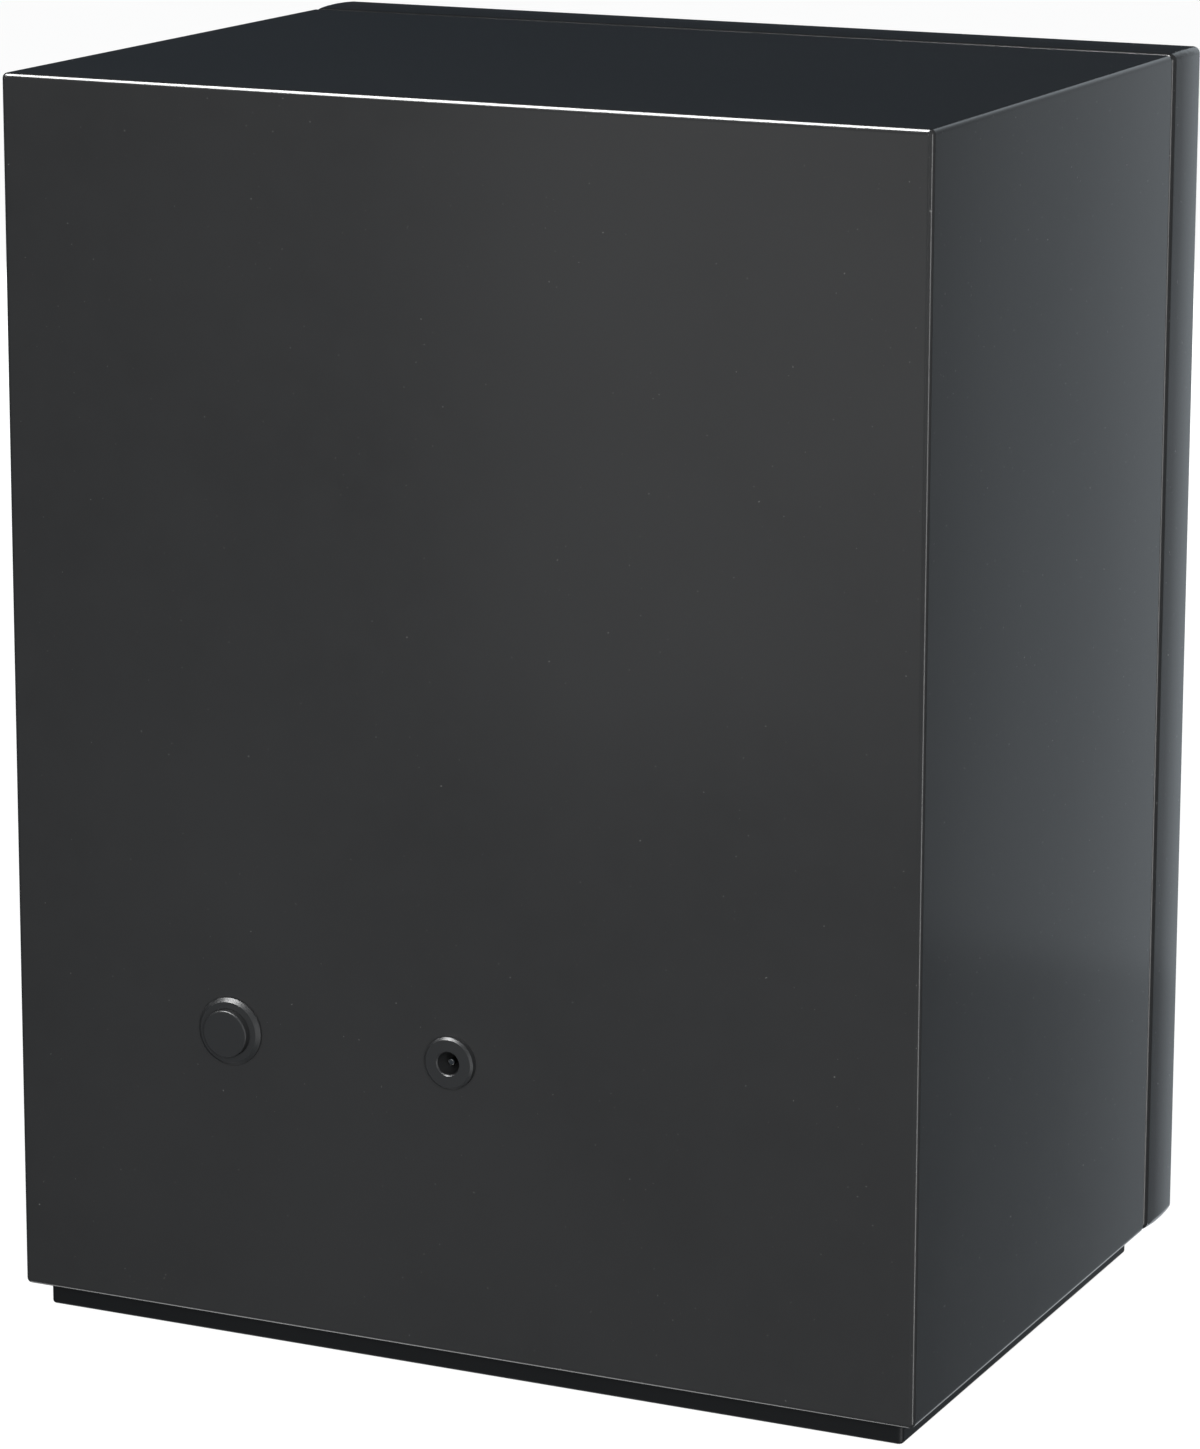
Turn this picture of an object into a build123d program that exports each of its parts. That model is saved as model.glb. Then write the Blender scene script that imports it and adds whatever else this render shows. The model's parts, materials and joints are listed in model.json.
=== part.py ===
from build123d import *
import math
import os

# Air purifier: a plain upright box with a pull-off front cover, standing on a recessed plinth.
# Millimetres. +Z is up, the front faces -Y, the rear face with the button and socket faces +Y.
# The origin is on the floor, under the middle of the whole object's box.

# ---- driving dimensions ----
BODY_W = 260.0            # body width, along X
BODY_D = 172.0            # body depth, along Y
BODY_H = 330.0            # body height, along Z
WALL = 2.5                # moulded wall
EDGE_R = 1.5              # outer edge radius
RIM_R = 0.8               # radius of the body's front rim
PLINTH_H = 7.0            # floor to the body's bottom edge
PLINTH_INSET = 5.0
PAD_T = 1.5               # foot pad thickness
PAD_PROUD = 0.5           # how far a pad stands below the plinth
COVER_T = 22.5
COVER_GAP = 1.0           # shadow gap between cover and body
COVER_PROUD = 0.5         # cover stands past the body on every side
COVER_R = 2.0
COVER_CROWN = 0.45        # how far the cover's four sides swell at mid depth
CAP_PROUD = 4.2           # button cap past the rear face
SLIM = 0.2                # assembly gap around plates inside the body

# ---- fasteners and fits ----
SCREW_R = 1.5             # shank of the common screw
PILOT_R = 1.55            # its hole in plastic
CLEAR_R = 1.8             # its clearance hole
PILOT_DEEP = 14.0
SUNK_R = 3.0              # flat head of the bay screws
SUNK_T = 1.0
SMALL_SCREW_R = 1.2
SMALL_PILOT_R = 1.25
SMALL_CLEAR_R = 1.6
SMALL_PILOT_DEEP = 6.0
RECESS_W = 0.7            # width of a cross recess
PANEL_GAP = 0.1           # radial gap of a part that sits in a hole
CUT = 1.0                 # how far a cut, or a boss joined to a wall, runs past the face
BITE = 0.5                # how far a joined rib or peg runs into a wall
SKIN = 0.8                # least plastic left under a blind hole
HEAD_R_RATIO = 1.9        # pan head's radius, in shank radii
HEAD_T_RATIO = 1.3        # pan head's height, in shank radii
RECESS_SHARE = 0.6        # recess's depth, as a share of the head's height
SUNK_FLOOR = 0.3          # metal left under a flat head's recess
ARC_SHARE = 0.45          # share of a cable's shorter run that a bend may take

# ---- planes worked out from them ----
DEPTH = COVER_T + COVER_GAP + BODY_D + CAP_PROUD
REAR = DEPTH / 2 - CAP_PROUD          # rear face
FRONT = REAR - BODY_D                 # body's front rim
COVER_REAR = FRONT - COVER_GAP
COVER_FRONT = COVER_REAR - COVER_T
COVER_SKIN = COVER_FRONT + WALL       # inner side of the cover's face
BASE = PLINTH_H
TOP = BASE + BODY_H
IN_X = BODY_W / 2 - WALL              # inner half width
IN_Z0 = BASE + WALL
IN_Z1 = TOP - WALL
IN_REAR = REAR - WALL                 # inner side of the rear wall
MID_Z = BASE + BODY_H / 2

# ---- plinth ----
PLINTH_WALL = 3.0
PLINTH_ROOF = 2.0
PLINTH_BOSS_R = 3.5
PLINTH_BOSS_H = 6.5
PLINTH_SCREW_L = 9.5
PAD_R = 8.0
PAD_BLOCK = 11.0          # half width of the block over each pad
PAD_X = BODY_W / 2 - PLINTH_INSET - 13.0
PAD_Y = (FRONT + 14.0, REAR - PLINTH_INSET - 13.0)
PLINTH_SCREW_X = 80.0
PLINTH_SCREW_Y = (FRONT + 10.0, REAR - PLINTH_INSET - 9.0)

# ---- filter bay, outlet duct and bulkhead ----
BEZEL_T = 2.5
BEZEL_BACK = FRONT + BEZEL_T
BULK_T = 3.0
BULK_FRONT = FRONT + 52.0
BULK_BACK = BULK_FRONT + BULK_T
GASKET_T = 1.0
BAY_W = 222.0             # inside width of the filter bay
BAY_Z0 = 19.0
BAY_Z1 = 237.0
BAY_WALL = 2.0
DUCT_W = 202.0
DUCT_Z0 = 258.0
DUCT_Z1 = 308.0
COLUMN_R = 4.0            # standoffs between the rear wall and the bulkhead
FOOT_W = 1.5              # standoff's foot flange
FOOT_T = 2.0
COLUMN_X = 121.0
COLUMN_Z = (17.0, MID_Z, TOP - 10.0)
POST_Z = (62.0, 284.0)
POST_R = 4.0

# ---- filter cartridge ----
FILTER_W = 220.0
FILTER_Z0 = 20.0
FILTER_Z1 = 236.0
FRAME_WALL = 4.0
SEAL_T = 4.0
FRAME_BACK = BULK_FRONT - SEAL_T
FRAME_D = 43.0
FRAME_FRONT = FRAME_BACK - FRAME_D
PRE_T = 4.0
PRE_TOP = 222.0
PLEAT_PITCH = 4.0
PLEAT_T = 1.0
FRAME_R = 2.0
FRAME_FACE = 1.5          # thickness of the frame's front and rear lips
FRAME_LIP = 4.0
MEDIA_GAP = 0.3
SEAL_RIM = 6.0
SEAL_W = 5.0
PRE_COLS = 9
PRE_ROWS = 8
PRE_BAR = 1.6
PRE_RIM = 6.0
PRE_INSET = 2.0
TAB_W = 34.0
TAB_T = 1.2

# ---- fan and motor ----
FAN_Z = 128.0
THROAT_R = 61.0
RING_R = 84.0
RING_T = 2.0
RING_SCREW_R = RING_R - 4.0
RING_SCREW_L = 4.5
RING_SCREW_TURNS = (45, 135, 225, 315)   # degrees
INLET_HOLE_R = RING_R - 10.0
IMP_R = 75.0
IMP_EYE_R = 65.0
IMP_FRONT = -14.0
IMP_BACK = 24.0
BLADES = 11
SHAFT_R = 2.5
BEARING_GAP = 0.05
CAN_R = 25.0
CAN_FRONT = 30.0
CAN_BACK = 66.0
GUARD_HUB_R = 12.0
VANE_OVERCUT = 10.0       # how far the blade stock runs past the wheel before it is trimmed
GUARD_RINGS = (52.0, 38.0, 24.0)
GUARD_WIRE = 1.6
GUARD_RIM = 3.0
GUARD_SPOKES = 6
GUARD_BACKSET = 0.4       # guard's front, behind the bulkhead's
FLARE = 12.0              # radial depth of the bellmouth
LIP_T = 2.0               # wall of the inlet ring
MOUTH_TURN = (3.0, 1.2, 4.0)             # radial and axial steps of the bellmouth's bend
LIP_OVERLAP = 3.0         # how far the throat enters the impeller's eye
HUB_PLATE_T = 2.0
HUB_R = 9.0
HUB_L = 14.0
SHROUD_T = 1.5
SHROUD_RISE = 8.0         # how far the shroud slopes back towards its rim
BLADE_IN_R = 44.0
BLADE_T = 1.8
BLADE_SWEEP = 38.0        # degrees from the blade's root to its tip
BLADE_BULGE = 0.36        # share of the sweep that is reached half way out
NUT_ACROSS = 9.0
NUT_T = 4.0
SHAFT_CHAMFER = 0.4
BEARING_R = 8.0
BEARING_W = 5.0
BEARING_GROOVES = ((6.2, 6.6), (3.9, 4.2))
GROOVE_DEEP = 0.3
CAN_FLOOR = 7.5           # thickness of the can's rear, which holds the rear bearing
END_CAP_T = 3.0
BEARING_STEP = 2.5        # wall round the front bearing, and metal in front of it
SHAFT_HOLE_R = 4.0
STATOR_R = CAN_R - 2.0
STATOR_YOKE = 3.0
TEETH = 6
TOOTH_W = 4.0
BORE_R = 13.0
CORE_INSET = 10.0         # stator's distance from both ends of the can
COIL_W = 7.6
COIL_H = 4.4
COIL_OVERHANG = 2.0
COIL_R = 1.6
ROTOR_R = 10.6
MAGNET_RING = 1.6
MAGNET_SLIT = 1.2
MOTOR_SCREW_PITCH_R = 15.0
MOTOR_SCREW_L = 7.0
MOTOR_SCREW_TURNS = (90, 210, 330)       # degrees
BRACKET_T = 3.0
BRACKET_R = 30.0
GROMMET_T = 6.0
GROMMET_R = 5.5
GROMMET_WAIST_R = 4.2
ARM_R = 95.0
ARM_W = 12.0
ARM_BOSS_R = 5.0
ARM_PILOT_DEEP = 12.0
ARM_SCREW_L = 18.0

# ---- controls on the rear face ----
CONTROL_Z = BASE + 80.0
BUTTON_X = BODY_W / 4
BUTTON_R = 8.0
BEZEL_R = 9.2
BEZEL_PROUD = 2.0
CAP_R = 6.4
CAP_GAP = 0.1
CAP_EDGE_R = 0.5
CAP_SUNK = 3.0            # cap's floor, inside the rear face
BUTTON_DEEP = 22.0
BUTTON_SEAL_T = 0.4
BUTTON_NUT_ACROSS = 19.0
BUTTON_NUT_T = 3.0
BUTTON_BEVEL = 1.0        # width and drop of the bezel's bevel
BEVEL_LIP = 0.3
SWITCH_L = 8.0
PLUNGER_R = 1.6
PLUNGER_GAP = 0.1
PLUNGER_FOOT = 3.0        # how far the plunger stands in the switch at rest
PLUNGER_WELL = 6.0        # leaves more than the button's travel below it
SPRING_R = 3.4
SPRING_WIRE_R = 0.35
SPRING_TURNS = 4
TERMINAL_L = 5.0
TERMINAL_W = 4.0
TERMINAL_T = 0.8
TERMINAL_DX = 3.5
JACK_R = 5.5
FLANGE_R = 7.0
FLANGE_PROUD = 2.4
SOCKET_R = 3.1
SOCKET_DEEP = 10.0
SOCKET_LEAD = 0.3         # lead-in at the socket's mouth
FLANGE_BEVEL = 0.6
PIN_R = 1.05
PIN_ROOT_R = 1.5
PIN_BACKSET = 2.0         # pin's tip, below the flange's face
PIN_TAIL = 1.5
PIN_TIP_ROUND = 0.5
JACK_DEEP = 17.0
JACK_NUT_ACROSS = 14.0
JACK_NUT_T = 2.5
LUG_REACH = 9.0           # side lug's reach from the socket's axis

# ---- control board ----
BOARD_W = 100.0
BOARD_Z0 = 210.0
BOARD_Z1 = 270.0
BOARD_BACK = IN_REAR - 7.5
BOARD_T = 1.6
BOARD_R = 3.0
BOARD_HOLE_INSET = 5.0
STANDOFF_R = 3.0
BOARD_SCREW_L = 7.0
CONNECTOR = 6.0           # depth and height of a cable connector
CONNECTOR_W = 10.0
POWER_X = -25.0           # power connector
MOTOR_X = 15.0            # motor connector
SIDE_Z = 240.0            # button connector
CONTROLLER = (-3.0, 244.0, 12.0, 12.0, 1.2)      # x, z, width, height, thickness
DRIVER = (20.0, 236.0, 8.0, 8.0, 1.4)
INDUCTOR = (-30.0, 242.0, 12.0, 12.0, 5.5)
CAPACITOR_X = (-28.0, -17.0)
CAPACITOR_Z = 258.0
CAPACITOR_R = 4.0
CAPACITOR_H = 11.0
CHIP_ROWS = (             # count, first x, pitch, z, width, height, thickness
    (9, -18.4, 6.0, 225.8, 3.2, 1.6, 1.0),
    (8, 1.0, 5.0, 256.6, 2.0, 1.2, 0.8),
)

# ---- internal cables ----
CABLE_R = 1.5
POWER_RUN_Z = (150.0, 184.0)      # where the power cable leaves the wall, and where it nears the board
BUTTON_START = (26.0, 8.0)        # how far the button's cable runs in, and rises, before it turns
BUTTON_RUN_Z = (138.0, 198.0)
BUTTON_LAST_X = 80.0
MOTOR_EXIT = 6.0                  # ahead of the can's rear
MOTOR_RISE = (19.0, 38.0)         # above the can's top
POWER_CLIP = (-48.0, 118.0)
BUTTON_CLIP = (92.0, 168.0)
CLIP_W = 8.0
CLIP_H = 6.0
CLIP_FRONT = 3.5          # clip's face, ahead of its cable

# ---- cover ----
INTAKE_W = 200.0
INTAKE_Z0 = 30.0
INTAKE_Z1 = 226.0
OUTLET_W = 196.0
OUTLET_Z0 = 261.0
OUTLET_Z1 = 305.0
FLANGE_W = 6.0
LATCH_X = 118.0
LATCH_Z = (20.0, TOP - 13.0)
MAGNET_R = 5.0
MAGNET_T = 4.0
BAR_PITCH = 6.0
BAR_W = 2.6
BAR_BACK = 4.0            # how far the bars stand behind the cover's skin
RIB_COUNT = 3
RIB_H = 2.4
INSERT_T = 2.0            # flange thickness of the grille and the louvre
INSERT_LIP = 2.0          # how far a flange reaches into its window
FACE_STEP = 0.8           # inserts sit this far below the cover's face
WINDOW_R = 3.0
VANES = 5
VANE_D = 13.0
VANE_T = 1.6
VANE_TILT = 28.0
VANE_ROUND = 0.4          # rounding of a slat's long edges, as a share of its thickness
VANE_SET = 0.6            # how far back the slats stand, as a share of their depth
LOUVRE_D = 14.0           # frame depth behind the cover's skin
STAY_X = (-66.0, 0.0, 66.0)
PEG_R = 1.5
PEG_H = 2.2
PEG_GAP = 0.1
RIVET_R = 2.6
RIVET_T = 1.2
STRIKE_R = 6.0
STRIKE_T = 1.5
PIN_TIP_R = 2.5
PIN_TIP_L = 6.0           # how far a locating pin enters the bezel
PIN_ROOT = 13.0           # how deep it is rooted in the cover
PIN_SHOULDER_R = 4.0
PIN_SHOULDER_L = 5.0
PEG_X = 103.0
PEG_Z = (50.0, 128.0, 206.0)
LOUVRE_PEG_X = 101.0


# ---- small shape helpers ----
def block(x0, x1, y0, y1, z0, z1):
    """Box between two corners."""
    centre = Pos((x0 + x1) / 2, (y0 + y1) / 2, (z0 + z1) / 2)
    return centre * Box(x1 - x0, y1 - y0, z1 - z0)


def rod_y(x, z, r, y0, y1):
    """Round bar along Y."""
    return Pos(x, (y0 + y1) / 2, z) * Rot(90, 0, 0) * Cylinder(r, y1 - y0)


def rod_z(x, y, r, z0, z1):
    """Round bar along Z."""
    return Pos(x, y, (z0 + z1) / 2) * Cylinder(r, z1 - z0)


def ring_y(x, z, r_out, r_in, y0, y1):
    """Washer along Y."""
    return rod_y(x, z, r_out, y0, y1) - rod_y(x, z, r_in, y0 - CUT, y1 + CUT)


def prism_y(sketch, y0, y1):
    """A sketch whose x and y mean X and Z, pulled from y0 to y1."""
    return Pos(0, y1, 0) * extrude(Plane.XZ * sketch, amount=y1 - y0)


def hex_y(x, z, across, y0, y1):
    """Hexagonal bar along Y, by its size across flats."""
    outline = Pos(x, z) * RegularPolygon(across / 2, 6, major_radius=False)
    return prism_y(outline, y0, y1)


def turned_y(points, x, z):
    """A ring turned about an axis along Y, from (radius, y) points."""
    profile = make_face(Polyline(*points, close=True))
    return Pos(x, 0, z) * revolve(profile, Axis.Y)


def group(solids):
    """Separate solids that share one name."""
    return Compound(children=[s.solid() for s in solids])


def cross_recess(x, z, reach, y0, y1):
    """Cross-shaped driver recess along Y."""
    half = RECESS_W / 2
    upright = block(x - half, x + half, y0, y1, z - reach, z + reach)
    return upright + block(x - reach, x + reach, y0, y1, z - half, z + half)


def screw_y(x, z, seat, length, shank_r, towards):
    """Pan-head screw with a cross recess. Its head sits on `seat`, its shank runs `towards` +1 or -1."""
    head_r = shank_r * HEAD_R_RATIO
    head_t = shank_r * HEAD_T_RATIO
    tip = seat + towards * length
    crown = seat - towards * head_t
    floor = crown + towards * head_t * RECESS_SHARE
    body = rod_y(x, z, head_r, min(seat, crown), max(seat, crown))
    body += rod_y(x, z, shank_r, min(seat, tip), max(seat, tip))
    return body - cross_recess(x, z, shank_r, min(crown, floor), max(crown, floor))


def cable(points, radius):
    """Round cable with straight runs and the largest tangent arcs that its runs allow."""
    path = [Vector(*p) for p in points]
    radii = []
    for before, here, after in zip(path, path[1:], path[2:]):
        run_in = here - before
        run_out = after - here
        half = math.radians(run_in.get_angle(run_out)) / 2
        radii.append(ARC_SHARE * min(run_in.length, run_out.length) / math.tan(half))
    line = FilletPolyline(*points, radius=radii)
    start = Plane(origin=line @ 0, z_dir=line % 0)
    tube = sweep(start * Circle(radius), path=line)
    expected = math.pi * radius ** 2 * line.length
    print("cable radii", [round(r, 1) for r in radii], "volume ratio", round(tube.volume / expected, 4))
    return tube


# ---- casing ----
def latch_points():
    return [(x, z) for x in (-LATCH_X, LATCH_X) for z in LATCH_Z]


def arm_points():
    """Where the motor bracket's arms end."""
    reach = ARM_R * math.sqrt(0.5)
    return [(sx * reach, FAN_Z + sz * reach) for sx in (-1, 1) for sz in (-1, 1)]


def board_points():
    x = BOARD_W / 2 - BOARD_HOLE_INSET
    heights = (BOARD_Z0 + BOARD_HOLE_INSET, BOARD_Z1 - BOARD_HOLE_INSET)
    return [(side * x, z) for side in (-1, 1) for z in heights]


def pad_points():
    return [(x, y) for x in (-PAD_X, PAD_X) for y in PAD_Y]


def plinth_screw_points():
    return [(x, y) for x in (-PLINTH_SCREW_X, PLINTH_SCREW_X) for y in PLINTH_SCREW_Y]


def column_points():
    return [(x, z) for x in (-COLUMN_X, COLUMN_X) for z in COLUMN_Z]


def post_points():
    return [(x, z) for x in (-COLUMN_X, COLUMN_X) for z in POST_Z]


def make_body_shell():
    """Box with an open front, bosses for the plinth's screws and the two holes in its rear wall."""
    shell = block(-BODY_W / 2, BODY_W / 2, FRONT, REAR, BASE, TOP)
    rim = shell.faces().sort_by(Axis.Y)[0].edges()
    others = [e for e in shell.edges() if e not in rim]
    shell = fillet(others, EDGE_R)
    shell = fillet(shell.faces().sort_by(Axis.Y)[0].edges(), RIM_R)
    shell -= block(-IN_X, IN_X, FRONT - CUT, IN_REAR, IN_Z0, IN_Z1)
    shell -= rod_y(BUTTON_X, CONTROL_Z, BUTTON_R + PANEL_GAP, IN_REAR - CUT, REAR + CUT)
    shell -= rod_y(0, CONTROL_Z, JACK_R + PANEL_GAP, IN_REAR - CUT, REAR + CUT)
    for x, y in plinth_screw_points():
        shell += rod_z(x, y, PLINTH_BOSS_R, IN_Z0 - CUT, IN_Z0 + PLINTH_BOSS_H)
        shell -= rod_z(x, y, PILOT_R, BASE - CUT, IN_Z0 + PLINTH_BOSS_H - SKIN)
    return shell


def standoff(x, z, radius, front, pilot_r, pilot_deep):
    """Post from the rear wall forward, with a foot flange and a blind screw hole in its front."""
    post = rod_y(x, z, radius, front, IN_REAR) + rod_y(x, z, radius + FOOT_W, IN_REAR - FOOT_T, IN_REAR)
    return post - rod_y(x, z, pilot_r, front - CUT, front + pilot_deep)


def make_bulkhead_standoffs():
    return group([standoff(x, z, COLUMN_R, BULK_BACK, PILOT_R, PILOT_DEEP) for x, z in column_points()])


def make_rear_wall_standoffs():
    """Four posts for the motor's bracket and four short ones for the control board."""
    front = CAN_BACK + BRACKET_T + GROMMET_T
    made = [standoff(x, z, ARM_BOSS_R, front, PILOT_R, ARM_PILOT_DEEP) for x, z in arm_points()]
    for x, z in board_points():
        made.append(standoff(x, z, STANDOFF_R, BOARD_BACK, SMALL_PILOT_R, SMALL_PILOT_DEEP))
    return group(made)


def make_base_plinth():
    """Hollow black plinth, open below, with corner blocks for the pads and lugs for its screws."""
    x1 = BODY_W / 2 - PLINTH_INSET
    y1 = REAR - PLINTH_INSET
    z0 = PAD_PROUD
    plinth = block(-x1, x1, FRONT, y1, z0, BASE)
    plinth = fillet(plinth.edges().filter_by(Axis.Z), EDGE_R)
    plinth = fillet(plinth.faces().sort_by(Axis.Z)[0].edges(), RIM_R)
    wall = PLINTH_WALL
    plinth -= block(-x1 + wall, x1 - wall, FRONT + wall, y1 - wall, z0 - CUT, BASE - PLINTH_ROOF)
    for x, y in pad_points():
        plinth += block(x - PAD_BLOCK, x + PAD_BLOCK, y - PAD_BLOCK, y + PAD_BLOCK, z0, BASE - CUT)
        plinth -= rod_z(x, y, PAD_R + PANEL_GAP, z0 - CUT, PAD_T)
    for x, y in plinth_screw_points():
        plinth -= rod_z(x, y, CLEAR_R, BASE - PLINTH_ROOF - CUT, BASE + CUT)
    return plinth


def make_foot_pads():
    return group([rod_z(x, y, PAD_R, 0, PAD_T) for x, y in pad_points()])


def make_plinth_screws():
    """Upright screws with their heads under the plinth's roof."""
    made = []
    for x, y in plinth_screw_points():
        screw = Rot(90, 0, 0) * screw_y(0, 0, 0, PLINTH_SCREW_L, SCREW_R, 1)
        made.append(Pos(x, y, BASE - PLINTH_ROOF) * screw)
    return group(made)


def make_bulkhead():
    """Plate across the body: the fan draws through its round hole and blows back through its slot."""
    plate = block(-IN_X + SLIM, IN_X - SLIM, BULK_FRONT, BULK_BACK, IN_Z0 + SLIM, IN_Z1 - SLIM)
    plate -= rod_y(0, FAN_Z, INLET_HOLE_R, BULK_FRONT - CUT, BULK_BACK + CUT)
    plate -= block(-DUCT_W / 2, DUCT_W / 2, BULK_FRONT - CUT, BULK_BACK + CUT, DUCT_Z0, DUCT_Z1)
    for x, z in column_points():
        plate -= rod_y(x, z, CLEAR_R, BULK_FRONT - CUT, BULK_BACK + CUT)
    for x, z in post_points():
        plate += rod_y(x, z, POST_R, BEZEL_BACK, BULK_FRONT + CUT)
        plate -= rod_y(x, z, PILOT_R, BEZEL_BACK - CUT, BEZEL_BACK + PILOT_DEEP)
    for x, z in ring_screw_points():
        plate -= rod_y(x, z, PILOT_R, BULK_FRONT - CUT, BULK_BACK + CUT)
    return plate


def make_bulkhead_screws():
    length = BULK_T + PILOT_DEEP - SKIN
    return group([screw_y(x, z, BULK_FRONT, length, SCREW_R, 1) for x, z in column_points()])


def open_box(width, z0, z1, wall, y0, y1):
    """Rectangular tube along Y, by its inside size."""
    half = width / 2
    outer = block(-half - wall, half + wall, y0, y1, z0 - wall, z1 + wall)
    return outer - block(-half, half, y0 - CUT, y1 + CUT, z0, z1)


def make_filter_bay():
    """Front bezel with the filter's bay below and the outlet duct above, moulded as one."""
    bay = block(-IN_X + SLIM, IN_X - SLIM, FRONT, BEZEL_BACK, IN_Z0 + SLIM, IN_Z1 - SLIM)
    back = BULK_FRONT - GASKET_T
    for width, z0, z1 in ((BAY_W, BAY_Z0, BAY_Z1), (DUCT_W, DUCT_Z0, DUCT_Z1)):
        bay -= block(-width / 2, width / 2, FRONT - CUT, BEZEL_BACK + CUT, z0, z1)
        bay += open_box(width, z0, z1, BAY_WALL, BEZEL_BACK - BITE, back)
    for x, z in latch_points():
        bay -= rod_y(x, z, STRIKE_R + PANEL_GAP, FRONT - CUT, FRONT + STRIKE_T)
    for x in (-LATCH_X, LATCH_X):
        bay -= rod_y(x, MID_Z, PIN_TIP_R + BEARING_GAP, FRONT - CUT, BEZEL_BACK + CUT)
    for x, z in post_points():
        bay -= rod_y(x, z, CLEAR_R, FRONT - CUT, BEZEL_BACK + CUT)
        bay -= rod_y(x, z, SUNK_R + PANEL_GAP, FRONT - CUT, FRONT + SUNK_T)
    return bay


def make_bay_screws():
    """Flat-headed screws, flush with the bezel's face."""
    seat = FRONT + SUNK_T
    made = []
    for x, z in post_points():
        screw = rod_y(x, z, SUNK_R, FRONT, seat) + rod_y(x, z, SCREW_R, FRONT, FRONT + PILOT_DEEP)
        made.append(screw - cross_recess(x, z, SCREW_R, FRONT, seat - SUNK_FLOOR))
    return group(made)


def make_bay_gasket():
    y0 = BULK_FRONT - GASKET_T
    lower = open_box(BAY_W, BAY_Z0, BAY_Z1, BAY_WALL, y0, BULK_FRONT)
    upper = open_box(DUCT_W, DUCT_Z0, DUCT_Z1, BAY_WALL, y0, BULK_FRONT)
    return group([lower, upper])


def make_strike_plates():
    return group([rod_y(x, z, STRIKE_R, FRONT, FRONT + STRIKE_T) for x, z in latch_points()])


# ---- front cover ----
def grille_pegs():
    return [(x, z) for x in (-PEG_X, PEG_X) for z in PEG_Z]


def louvre_pegs():
    return [(x, (OUTLET_Z0 + OUTLET_Z1) / 2) for x in (-LOUVRE_PEG_X, LOUVRE_PEG_X)]


def window(width, z0, z1, corner_r, y0, y1):
    """Round-cornered block along Y, for a window or what fills it."""
    return prism_y(Pos(0, (z0 + z1) / 2) * RectangleRounded(width, z1 - z0, corner_r), y0, y1)


def crowned_slab(half, z0, z1):
    """The cover's outer block, whose top, bottom and sides swell slightly at mid depth."""
    middle = (COVER_FRONT + COVER_REAR) / 2
    low, high = z0 + COVER_CROWN, z1 - COVER_CROWN
    narrow = half - COVER_CROWN
    plan = Polyline((narrow, COVER_REAR), (-narrow, COVER_REAR))
    plan += ThreePointArc((-narrow, COVER_REAR), (-half, middle), (-narrow, COVER_FRONT))
    plan += Polyline((-narrow, COVER_FRONT), (narrow, COVER_FRONT))
    plan += ThreePointArc((narrow, COVER_FRONT), (half, middle), (narrow, COVER_REAR))
    side = Polyline((COVER_REAR, high), (COVER_REAR, low))
    side += ThreePointArc((COVER_REAR, low), (middle, z0), (COVER_FRONT, low))
    side += Polyline((COVER_FRONT, low), (COVER_FRONT, high))
    side += ThreePointArc((COVER_FRONT, high), (middle, z1), (COVER_REAR, high))
    upright = Pos(0, 0, z0) * extrude(make_face(plan), amount=z1 - z0)
    across = Pos(-half, 0, 0) * extrude(Plane.YZ * make_face(side), amount=2 * half)
    return upright & across


def make_front_cover():
    """Shallow tray with two windows and bosses for its magnets and locating pins."""
    half = BODY_W / 2 + COVER_PROUD
    z0, z1 = BASE - COVER_PROUD, TOP + COVER_PROUD
    cover = crowned_slab(half, z0, z1)
    cover = fillet(cover.edges(), COVER_R)
    inner = half - WALL
    root = COVER_SKIN - BITE
    cover -= block(-inner, inner, COVER_SKIN, COVER_REAR + CUT, z0 + WALL, z1 - WALL)
    cover -= window(INTAKE_W, INTAKE_Z0, INTAKE_Z1, WINDOW_R, COVER_FRONT - CUT, COVER_SKIN + CUT)
    cover -= window(OUTLET_W, OUTLET_Z0, OUTLET_Z1, WINDOW_R, COVER_FRONT - CUT, COVER_SKIN + CUT)
    for x, z in latch_points():
        cover += rod_y(x, z, MAGNET_R + 2, root, COVER_REAR)
        cover -= rod_y(x, z, MAGNET_R, COVER_REAR - MAGNET_T, COVER_REAR + CUT)
    for x in (-LATCH_X, LATCH_X):
        cover += rod_y(x, MID_Z, PIN_SHOULDER_R + 2, root, COVER_REAR - PIN_SHOULDER_L)
        cover -= rod_y(x, MID_Z, PIN_TIP_R, COVER_REAR - PIN_ROOT, COVER_REAR)
    for x, z in grille_pegs() + louvre_pegs():
        cover += rod_y(x, z, PEG_R, root, COVER_SKIN + PEG_H)
    return cover


def insert_flange(width, z0, z1, pegs):
    """Flange that seats an insert behind its window, with holes for the cover's pegs."""
    flange = block(-width / 2 - FLANGE_W, width / 2 + FLANGE_W, COVER_SKIN, COVER_SKIN + INSERT_T,
                   z0 - FLANGE_W, z1 + FLANGE_W)
    for x, z in pegs:
        flange -= rod_y(x, z, PEG_R + PEG_GAP, COVER_SKIN - CUT, COVER_SKIN + INSERT_T + CUT)
    return flange


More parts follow.
